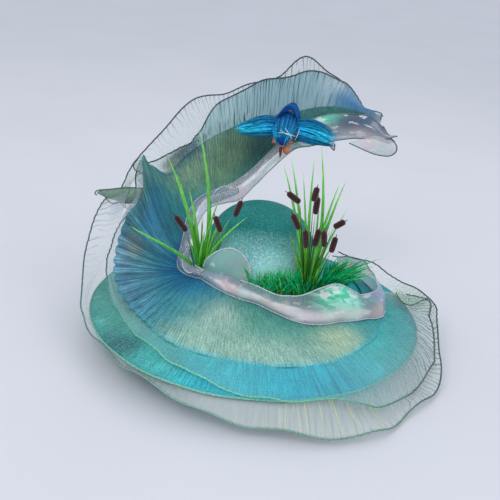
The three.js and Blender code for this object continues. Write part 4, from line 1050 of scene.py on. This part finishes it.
class HAT_OT_ruffles(bpy.types.Operator):
    """Builds the two sheer ruffles and their hem cords"""

    bl_idname = "hat.ruffles"
    bl_label = "Ruffles"

    def execute(self, context):
        sizes = context.scene.hat_sizes
        colours = context.scene.hat_colours
        hem = cord_material("hem_thread")

        def upper_marks(turn, share):
            strong = 0.9 * near(turn, 14, 32) * np.clip(share * 3 - 1, 0, 1) + 0.3 * near(turn, 225, 22)
            fine = 0.95 * near(turn, 268, 42) + 0.25 * near(turn, 196, 8)
            # The middle number is the strength of the painted glints
            return strong, 0.4 * near(turn, 60, 9) * share, fine

        def lower_marks(turn, share):
            strong = (0.7 * near(turn, 20, 40) * share + 0.3 * near(turn, 75, 22) + 0.5 * near(turn, 278, 12)
                      + 0.6 * near(turn, 240, 34) * share ** 3 + 0.5 * near(turn, 190, 12) * share)
            # The middle number is the strength of the painted glints
            return strong, 0.9 * near(turn, 64, 18), 0.04

        # The hem cords are dark green, with painted light: lighter mint at the front, where they are lit
        upper_stops = ((0, (70, 96, 90)), (40, (84, 120, 106)), (70, (130, 214, 184)), (110, (140, 232, 192)),
                       (150, (104, 186, 162)), (175, (56, 98, 100)), (240, (58, 84, 84)), (320, (62, 84, 92)),
                       (360, (70, 96, 90)))
        lower_stops = ((0, (66, 92, 88)), (35, (84, 118, 108)), (60, (120, 175, 145)), (110, (150, 205, 180)),
                       (150, (110, 160, 150)), (180, (84, 118, 118)), (230, (52, 70, 74)), (300, (66, 84, 88)),
                       (360, (66, 92, 88)))
        rows = (
            ("upper_cloth", UPPER_RUFFLE, upper_base, upper_relief, UPPER_BASE, UPPER_ZONES, upper_marks,
             upper_stops, "upper_ruffle", "strip_cloth", (0.058, 1.52)),
            ("lower_cloth", LOWER_RUFFLE, lower_base, lower_relief, LOWER_BASE, LOWER_ZONES, lower_marks,
             lower_stops, "lower_ruffle", "brim_disc", (0.055, 1.79)),
        )
        for name, table, base, relief, plain, zones, mark, stops, solid, carrier, flat in rows:
            shape = spread(table, lambda turn, share: raised(base, relief, turn, share))
            paint = spread(table, lambda turn, share: tint(plain, zones, turn, share))
            piece = sheet_piece(name, RUFFLE_GRID, shape, paint, sizes.organza_wall, spread(table, mark))
            material = organza_material(name + "_organza", 460, colours.stroke, linear(214, 226, 160))
            settle(piece, material, "organza", solid)
            cord = edge_cord(name + "_hem", shape, 1, RUFFLE_GRID, sizes.hem_radius, stops, hem, "organza")
        return {"FINISHED"}


class HAT_OT_trim(bpy.types.Operator):
    """Builds the iridescent ribbon and its wired edges"""

    bl_idname = "hat.trim"
    bl_label = "Trim"

    def execute(self, context):
        sizes = context.scene.hat_sizes
        shape = spread(TRIM, lambda turn, share: raised(trim_base, trim_relief, turn, share))
        paint = spread(TRIM, lambda turn, share: tint(TRIM_BASE, TRIM_ZONES, turn, share))
        # The mark's green is where the crinkled mint facets get painted shade and painted highlights
        marks = spread(TRIM, lambda turn, share: (
            0.0, 1.2 * near(turn, 42, 13) * np.clip(2 * share - 0.4, 0, 1) + near(turn, 290, 9), 0.0))
        piece = sheet_piece("trim_ribbon", TRIM_GRID, shape, paint, sizes.trim_wall, marks)
        settle(piece, film_material("iridescent_film"), "iridescent_film", "iridescent_trim")
        wire = cord_material("wired_edge", 0.3)
        stops = ((0, (210, 216, 226)), (90, (226, 230, 236)), (180, (190, 204, 216)), (260, (180, 190, 200)),
                 (310, (120, 130, 140)), (345, (110, 112, 122)), (360, (210, 216, 226)))
        edges = [edge_cord(name, shape, across, TRIM_GRID, sizes.wire_radius, stops, wire, "iridescent_film")
                 for name, across in (("trim_wire_sewn", 0), ("trim_wire_free", 1))]
        return {"FINISHED"}


class HAT_OT_flaps(bpy.types.Operator):
    """Builds the small folds and loops that grow from the hems, each with its cord"""

    bl_idname = "hat.flaps"
    bl_label = "Folds and loops"

    def execute(self, context):
        sizes = context.scene.hat_sizes
        sheer = organza_material("loop_organza", 26, context.scene.hat_colours.stroke, linear(214, 226, 160))
        film = film_material("loop_film", (4, 1.2))
        hem = cord_material("loop_thread")
        for name, slot, carrier, foot, edge, paint, cord_colour, flat in FLAPS:
            def shape(along, across):
                bulge = 5 * np.sin(np.pi * np.clip(along, 0, 1)) * np.sin(np.pi * np.clip(across, 0, 1))
                points = blend(smooth_line(foot, along), smooth_line(edge, along), across[..., None])
                return points - bulge[..., None] * np.array([0, 0.8, 0.2])

            shade = lambda along, across: (*linear(*paint[:3]), paint[3])
            strokes = 0.95 if name == "leaf_shadow" else 0.4
            marks = lambda along, across: (strokes * np.clip(1.3 - across, 0, 1), 0.0, 0.3)
            piece = sheet_piece(name, FLAP_GRID, shape, shade, sizes.organza_wall, marks)
            settle(piece, film if slot == "iridescent_film" else sheer, slot)
            along = np.linspace(0, 1, FLAP_GRID[0] + 1)
            line = shape(along, 1 + 0 * along)
            if name == "leaf_fold":
                line = np.concatenate([line, smooth_line(LEAF_TAIL, np.linspace(0.1, 1, 12))])
            cord = tube_piece(name + "_cord", line * MM, sizes.wire_radius, ((0, cord_colour), (360, cord_colour)))
            settle(cord, hem, slot)
        curl = smooth_line(LEAF_CURL, np.linspace(0, 1, 30))
        cord = tube_piece("leaf_curl", curl * MM, sizes.hem_radius, ((0, (62, 86, 82)), (360, (62, 86, 82))))
        settle(cord, hem, "organza")
        return {"FINISHED"}


# Each bunch of reeds, in millimetres from its root: the root, the count of fine blades, the blades (tip, bow of the
# middle, width), and the cattails (foot x, foot z, top x, top z, depth)
BUNCHES = {
    "left": (place(153, 100.6, 2), 14, [
        (-61, -4, 208, 14, 0, 10, 8), (-16, -6, 250, 30, -3, 10, 9), (-26, 2, 156, 8, 0, 6, 9),
        (-110, -16, 92, -6, -8, 12, 8), (67, -40, 134, -24, -8, 10, 7), (-44, -2, 176, 10, 0, 4, 6),
        (40, -18, 120, -6, -2, 6, 6), (14, -12, 114, 2, -3, 0, 7), (24, -6, 152, -10, -6, 8, 7),
        (4, -10, 96, -4, -4, 0, 8),
    ], [(-24, 91, -42, 114, -14), (28, 99, 18, 123, -24), (47, 128, 55, 153, -30)]),
    "right": (place(47, 112, 3), 40, [
        (-56, 2, 218, 12, -2, 10, 8), (-46, -4, 230, 6, 0, 8, 8), (-26, 8, 205, 4, 0, 0, 6),
        (-13, 0, 234, -6, 0, 8, 7), (-5, 12, 248, 24, 0, 6, 8), (1, 6, 176, 8, 0, 0, 7),
        (28, 4, 196, -10, 0, 12, 8), (38, 10, 202, -8, 0, 10, 8), (43, 0, 158, -8, 0, 8, 6),
        (16, -8, 150, -6, -2, 4, 7), (-30, -6, 140, 6, -2, 4, 7), (6, -12, 130, 2, -4, 0, 8),
    ], [
        (-27, 167, -46, 180, -14), (-24, 129, -36, 151, -22), (-11, 101, -15, 128, -22), (-9, 175, -6, 196, -26),
        (-3, 150, -2, 176, -10), (1, 102, 5, 129, -16), (14, 109, 11, 133, -30), (26, 97, 30, 121, -20),
        (26, 133, 41, 144, -12),
    ]),
}
BLADE_SLIMNESS = 0.72
SPRAWL = -100  # a blade whose tip lies further left than this starts upright and then falls aside


class HAT_OT_reeds(bpy.types.Operator):
    """Builds both bunches of reeds with their stems"""

    bl_idname = "hat.reeds"
    bl_label = "Reeds"

    def execute(self, context):
        rng = np.random.default_rng(7)
        leaf = strand_material("reed_leaf", 0.45, (700, 700, 26), 0.3, 0.25)
        for side, (root, fine_blades, blades, cattails) in BUNCHES.items():
            stalks = []

            def foot_near(*scatter):
                return root + (*(rng.normal(0, reach) for reach in scatter), 0)

            def grow(foot, middle, tip, width, foot_colour, tip_colour, sprawls=False):
                first = foot + (4, -4, 40) if sprawls else blend(foot, middle, 2 / 3)
                second = blend(tip, middle, 0.5 if sprawls else 2 / 3)
                stalks.append(([foot, first, second, tip], width, linear(*foot_colour), linear(*tip_colour)))

            for *ends, width in blades:
                foot, tip = foot_near(1.5, 1.5), root + ends[:3]
                grow(foot, blend(foot, tip, 0.45) + ends[3:], tip, BLADE_SLIMNESS * width, (34, 168, 24),
                     (150, 245, 120), ends[0] < SPRAWL)
            for foot_x, foot_z, _, _, depth in cattails:
                foot, tip = foot_near(1.5, 1.5), root + (foot_x, depth, foot_z + 1)
                grow(foot, blend(foot, tip, 0.45) + (0, -3, 0), tip, 2.2, (40, 110, 40), (60, 110, 44))
            for _ in range(fine_blades):
                lean, reach = rng.uniform(-1, 1), rng.uniform(50, 120)
                foot = foot_near(3.5, 2)
                tip = foot + (lean * reach * 0.36, rng.uniform(-16, 10), reach)
                width = rng.uniform(2.5, 4.0)
                fresh = (rng.uniform(0.8, 1.15) * np.array([140, 222, 60])).clip(0, 255)
                grow(foot, blend(foot, tip, 0.5) + (-lean * 5, 0, 6), tip, width, (44, 160, 36), fresh)
            paths, widths, feet, tips = zip(*stalks)
            piece = stalks_piece("reed_leaves_" + side, np.array(paths), widths, (feet, tips), 0.0007, 18,
                                 fold=0.9, waist=0.38)
            settle(piece, leaf, "reed", "reeds_" + side)
        return {"FINISHED"}


# radius in millimetres, share of the head's height
CATTAIL_PROFILE = [(0, 0), (2.6, 0.02), (4.0, 0.08), (4.5, 0.2), (4.6, 0.5), (4.5, 0.8), (4.0, 0.93), (2.4, 0.99),
                   (0.7, 1.01), (0.55, 1.15), (0.0, 1.25)]


class HAT_OT_cattails(bpy.types.Operator):
    """Builds the cattail heads of each bunch"""

    bl_idname = "hat.cattails"
    bl_label = "Cattail heads"

    def execute(self, context):
        colours = context.scene.hat_colours
        velvet = velvet_material("cattail_velvet", colours.cattail_dark, colours.cattail_light)
        for side, (root, _, _, cattails) in BUNCHES.items():
            bm = bmesh.new()
            for foot_x, foot_z, top_x, top_z, depth in cattails:
                foot = Vector(root + (foot_x, depth, foot_z)) * MM
                axis = Vector((top_x - foot_x, 0, top_z - foot_z)) * MM
                head = bmesh.new()
                turned(head, [(radius, share * axis.length / MM) for radius, share in CATTAIL_PROFILE], 18)
                lean = Vector((0, 0, 1)).rotation_difference(axis.normalized()).to_matrix().to_4x4()
                bmesh.ops.transform(head, matrix=Matrix.Translation(foot) @ lean, verts=head.verts)
                single = mesh_of(head, "head")
                bm.from_mesh(single)
                bpy.data.meshes.remove(single)
            piece = finished(bm, "cattail_heads_" + side)
            settle(piece, velvet, "cattail", *(f"cattail_{side}_{k + 1}" for k in range(len(cattails))))
        return {"FINISHED"}


# from turn, to turn, inner radius, outer radius, tallest, share of all the blades
GRASS_TUFTS = [
    ("grass_front", 54, 94, 102, 108, 66, 0.40),
    ("grass_right", 2, 58, 103, 124, 60, 0.53),
    ("grass_left", 137, 152, 98, 103, 30, 0.07),
]


class HAT_OT_grass(bpy.types.Operator):
    """Builds the three tufts of grass"""

    bl_idname = "hat.grass"
    bl_label = "Grass"

    def execute(self, context):
        rng = np.random.default_rng(11)
        material = strand_material("grass_strand", 0.6, (500, 500, 60), 0.4, 0.15)
        for solid, start, end, inner, outer, tall, share in GRASS_TUFTS:
            count = int(context.scene.hat_counts.grass_blades * share)
            turn = rng.uniform(start, end, count)
            foot = place(turn, rng.uniform(inner, outer, count), 1.5)
            height = tall * rng.uniform(0.62, 1.02, count) ** 2
            lean_out = rng.uniform(0, 1, count) * height * (0.2 + 1.2 * np.clip((44 - turn) / 24, 0, 1))
            lean_side = rng.normal(0, 0.26, count) * height
            bend = lambda up, out, side: (up * xyz(0, 0, height) + out * lean_out[:, None] * away(turn)
                                          + side * lean_side[:, None] * away(turn - 90))
            paths = np.stack([foot, foot + bend(0.62, 0.25, 0.2), foot + bend(1, 1, 1)], axis=1)
            shade = rng.uniform(0.6, 1.5, count)[:, None]
            fresh = (rng.uniform(0, 1, count) < 0.09)[:, None]
            feet = np.where(fresh, linear(70, 180, 40), linear(0, 122, 72)) * shade
            tips = np.where(fresh, linear(150, 225, 60), linear(24, 205, 130)) * shade
            widths = rng.uniform(1.2, 2.4, count)
            piece = stalks_piece(solid + "_blades", paths, widths, (feet, tips), 0.0006, 7)
            settle(piece, material, "grass", solid)
        return {"FINISHED"}


BIRD = np.array([27.0, 151.0, 216.0])
BIRD_HEAD = BIRD + (-7, -25, -19)
BEAK_LEAN = 0.35
BEAK_REACH = 13
BEAK_PROFILE = [(0, 0), (2.9, 0.6), (3.1, 2), (2.6, 8), (1.4, 15), (0, 19.5)]
BODY_STRANDS, ARCH_STRANDS, FRINGE_STRANDS = 150, 70, 46
THREADS = np.array([
    [(-16, -37, -6), (2, -40, -2), (18, -34, -12)], [(-12, -39, 0), (4, -41, -10), (16, -36, -8)],
    [(-4, -40, 4), (6, -42, -6), (10, -38, -16)], [(20, -33, 2), (18, -38, -8), (14, -38, -16)],
])


class HAT_OT_bird(bpy.types.Operator):
    """Builds the raffia bird: body, head, two wings, beak and breast"""

    bl_idname = "hat.bird"
    bl_label = "Bird"

    def execute(self, context):
        rng = np.random.default_rng(5)
        raffia = strand_material("raffia_strand", 0.4, (120, 600, 600), 0.6, 0.25)

        def lump(bm, name, colour, material, slot, solid):
            piece = finished(bm, name)
            paint_points(piece.data, linear(*colour))
            settle(piece, material, slot, solid)

        def strands(name, start, middle, end, width, colours, thickness=0.0008, steps=10, slot="raffia", solids=()):
            piece = stalks_piece(name, np.stack([start, middle, end], 1), width, colours, thickness, steps)
            settle(piece, raffia, slot, *solids)

        bm = bmesh.new()
        bmesh.ops.create_uvsphere(bm, u_segments=32, v_segments=20, radius=1)
        bmesh.ops.scale(bm, vec=(0.0195, 0.0215, 0.0245), verts=bm.verts)
        bmesh.ops.translate(bm, vec=Vector(BIRD * MM), verts=bm.verts)
        head = bmesh.ops.create_uvsphere(bm, u_segments=24, v_segments=16, radius=0.0115)["verts"]
        bmesh.ops.translate(bm, vec=Vector(BIRD_HEAD * MM), verts=head)
        lump(bm, "bird_core", (12, 62, 130), raffia, "raffia", "bird_body")

        count = BODY_STRANDS
        around = rng.uniform(-1, 1, count)
        start = BIRD + xyz(21 * around, -2 + rng.uniform(-6, 8, count), 20 * np.sqrt(1 - around ** 2) + 4)
        end = BIRD + xyz(-7 + 9 * around, rng.uniform(-35, -27, count), rng.uniform(-31, -12, count))
        middle = blend(start, end, 0.5) + xyz(9 * around, -17, 8)
        feet = linear(10, 78, 145) * rng.uniform(0.4, 1.6, count)[:, None]
        tips = linear(24, 160, 205) * rng.uniform(0.5, 1.7, count)[:, None]
        strands("bird_strands", start, middle, end, 2.6, (feet, tips))

        count = ARCH_STRANDS
        level = rng.uniform(-1, 1, count)
        start = BIRD + xyz(-19 + 3 * level, -12 + 6 * level, 6)
        end = BIRD + xyz(21 + 3 * level, -10 + 6 * level, 4)
        middle = BIRD + xyz(8 + 3 * level, -8 + 7 * level, 66 + rng.uniform(-12, 6, count))
        shade = rng.uniform(0.4, 1.6, count)[:, None]
        strands("bird_arch_strands", start, middle, end, 2.8,
                (linear(10, 68, 138) * shade, linear(16, 104, 168) * shade), steps=14)
        strands("bird_threads", *np.swapaxes(BIRD + THREADS, 0, 1), 1.1,
                (linear(200, 226, 240), linear(225, 240, 245)))

        fringe = rng.uniform(-1, 1, FRINGE_STRANDS)
        start = BIRD + xyz(-7 + 15 * fringe, -30, -18 + 4 * np.abs(fringe))
        end = start + xyz(4 * fringe, -4, -13 + 4 * np.abs(fringe))
        shade = rng.uniform(0.5, 1.4, FRINGE_STRANDS)[:, None]
        strands("bird_fringe", start, blend(start, end, 0.5), end, 1.8,
                (linear(150, 84, 62) * shade, linear(196, 116, 90) * shade), 0.0007, 5, "breast")

        count = context.scene.hat_counts.wing_strands
        for side, word, drop, spread_out in ((-1, "left", -12, 7), (1, "right", -15, 10)):
            level = rng.uniform(-1, 1, count)
            depth = rng.uniform(-22, -10, count)
            start = BIRD + xyz(side * 13, depth, 14 * level - 2)
            reach = rng.uniform(60, 88, count)
            end = BIRD + xyz(side * reach, depth + rng.normal(0, 2, count), drop + spread_out * level)
            middle = blend(start, end, 0.5) + xyz(0, -3, 8 + 14 * level)
            bright = near(level, 0.05, 0.55)[:, None] * rng.uniform(0.5, 1.7, count)[:, None]
            feet = linear(8, 92, 145) + linear(20, 155, 200) * bright
            tips = linear(6, 104, 145) + linear(60, 215, 225) * bright
            wing = "bird_wing_" + word
            strands(wing + "_strands", start, middle, end, 2.8, (feet, tips), 0.0007, solids=[wing])

        bm = bmesh.new()
        turned(bm, BEAK_PROFILE, 16)
        lean = Matrix.Rotation(math.pi - BEAK_LEAN, 4, "X")
        root = BIRD_HEAD - BEAK_REACH * xyz(0, math.sin(BEAK_LEAN), math.cos(BEAK_LEAN))
        bmesh.ops.transform(bm, matrix=Matrix.Translation(Vector(root * MM)) @ lean, verts=bm.verts)
        gloss = strand_material("beak_gloss", 0.35, (300, 300, 300), 0.2)
        lump(bm, "bird_beak_cone", (120, 26, 22), gloss, "beak", "bird_beak")

        bm = bmesh.new()
        bmesh.ops.create_icosphere(bm, subdivisions=4, radius=1)
        bmesh.ops.scale(bm, vec=(0.006, 0.006, 0.0085), verts=bm.verts)
        bmesh.ops.translate(bm, vec=Vector((BIRD + (2.6, -25.6, -35.6)) * MM), verts=bm.verts)
        down = strand_material("breast_down", 0.7, (500, 500, 500), 0.3)
        lump(bm, "bird_breast_tuft", (222, 140, 104), down, "breast", "bird_breast")
        return {"FINISHED"}


FLOOR_HEIGHT = -0.093
AIM = Vector((-0.01562, 0, 0.04516))
DISTANCE = 1.3
ELEVATION = math.radians(23.2105)
ROLL = math.radians(5.3185)
LENS = 58.503
SENSOR_WIDTH = 36
FLOOR_RADIUS = 14
SKY = (0.86, 0.9, 1.0, 1)
SKY_STRENGTH = 0.8
LIT_POINT = Vector((0, 0, 0.05))

# name, place, power in watts, width, colour
LIGHTS = (
    ("key_light", (-0.9, -1.3, 1.9), 11, 1.0, (1.0, 0.98, 0.95)),
    ("fill_light", (1.6, -1.0, 1.1), 3, 1.2, (0.92, 0.96, 1.0)),
    ("back_light", (0.4, 1.0, 1.7), 4, 1.0, (1.0, 1.0, 1.0)),
)


class HAT_OT_stage(bpy.types.Operator):
    """Builds the floor, the backdrop, the lights and the camera"""

    bl_idname = "hat.stage"
    bl_label = "Stage"

    def execute(self, context):
        pale = context.scene.hat_colours.floor
        bm = bmesh.new()
        bmesh.ops.create_circle(bm, cap_ends=True, cap_tris=True, segments=96, radius=FLOOR_RADIUS)
        bmesh.ops.translate(bm, vec=(0, 0, FLOOR_HEIGHT), verts=bm.verts)
        bmesh.ops.recalc_face_normals(bm, faces=bm.faces)
        floor = finished(bm, "stage_floor")
        floor.data.materials.append(plain_stage_material("stage_paper", pale))

        context.scene.view_settings.view_transform = "Standard"
        world = bpy.data.worlds.new("studio") if context.scene.world is None else context.scene.world
        context.scene.world = world
        world.use_nodes = True
        background = world.node_tree.nodes["Background"]
        background.inputs["Color"].default_value = SKY
        background.inputs["Strength"].default_value = SKY_STRENGTH
        for name, spot, power, width, shade in LIGHTS:
            lamp = bpy.data.lights.new(name, "AREA")
            lamp.energy = power
            lamp.size = width
            lamp.color = shade
            holder = new_object(name, lamp)
            holder.location = spot
            holder.rotation_euler = (LIT_POINT - Vector(spot)).to_track_quat("-Z", "Y").to_euler()

        back = Vector((0, -math.cos(ELEVATION), math.sin(ELEVATION)))
        level = Vector((1, 0, 0))
        rise = Vector((0, math.sin(ELEVATION), math.cos(ELEVATION)))
        right = math.cos(ROLL) * level + math.sin(ROLL) * rise
        up = -math.sin(ROLL) * level + math.cos(ROLL) * rise
        lens = bpy.data.cameras.new("camera")
        lens.lens = LENS
        lens.sensor_width = SENSOR_WIDTH
        camera = new_object("camera", lens)
        turn = Matrix((right, up, back)).transposed().to_4x4()
        camera.matrix_world = Matrix.Translation(AIM + DISTANCE * back) @ turn
        context.scene.camera = camera
        return {"FINISHED"}


STEPS = (HAT_OT_stage, HAT_OT_crown, HAT_OT_brim, HAT_OT_strip, HAT_OT_ruffles, HAT_OT_trim, HAT_OT_flaps,
         HAT_OT_reeds, HAT_OT_cattails, HAT_OT_grass, HAT_OT_bird)


class HAT_PT_panel(bpy.types.Panel):
    """Lists the hat's sizes, colours and steps"""

    bl_idname = "HAT_PT_panel"
    bl_label = "Wide-brim hat"
    bl_space_type = "VIEW_3D"
    bl_region_type = "UI"
    bl_category = "Hat"

    def draw(self, context):
        for group in (context.scene.hat_sizes, context.scene.hat_counts, context.scene.hat_colours):
            box = self.layout.box()
            for name in group.__annotations__:
                box.prop(group, name)
        for step in STEPS:
            self.layout.operator(step.bl_idname)


GROUPS = (("hat_sizes", HatSizes), ("hat_counts", HatCounts), ("hat_colours", HatColours))


def register():
    for name, group in GROUPS:
        bpy.utils.register_class(group)
        setattr(bpy.types.Scene, name, PointerProperty(type=group))
    for step in (*STEPS, HAT_PT_panel):
        bpy.utils.register_class(step)


def unregister():
    for step in reversed((*STEPS, HAT_PT_panel)):
        bpy.utils.unregister_class(step)
    for name, group in reversed(GROUPS):
        delattr(bpy.types.Scene, name)
        bpy.utils.unregister_class(group)


def main():
    register()
    bpy.ops.hat.stage()
    bpy.ops.hat.crown()
    bpy.ops.hat.brim()
    bpy.ops.hat.strip()
    bpy.ops.hat.ruffles()
    bpy.ops.hat.trim()
    bpy.ops.hat.flaps()
    bpy.ops.hat.reeds()
    bpy.ops.hat.cattails()
    bpy.ops.hat.grass()
    bpy.ops.hat.bird()


if __name__ == "__main__":
    main()
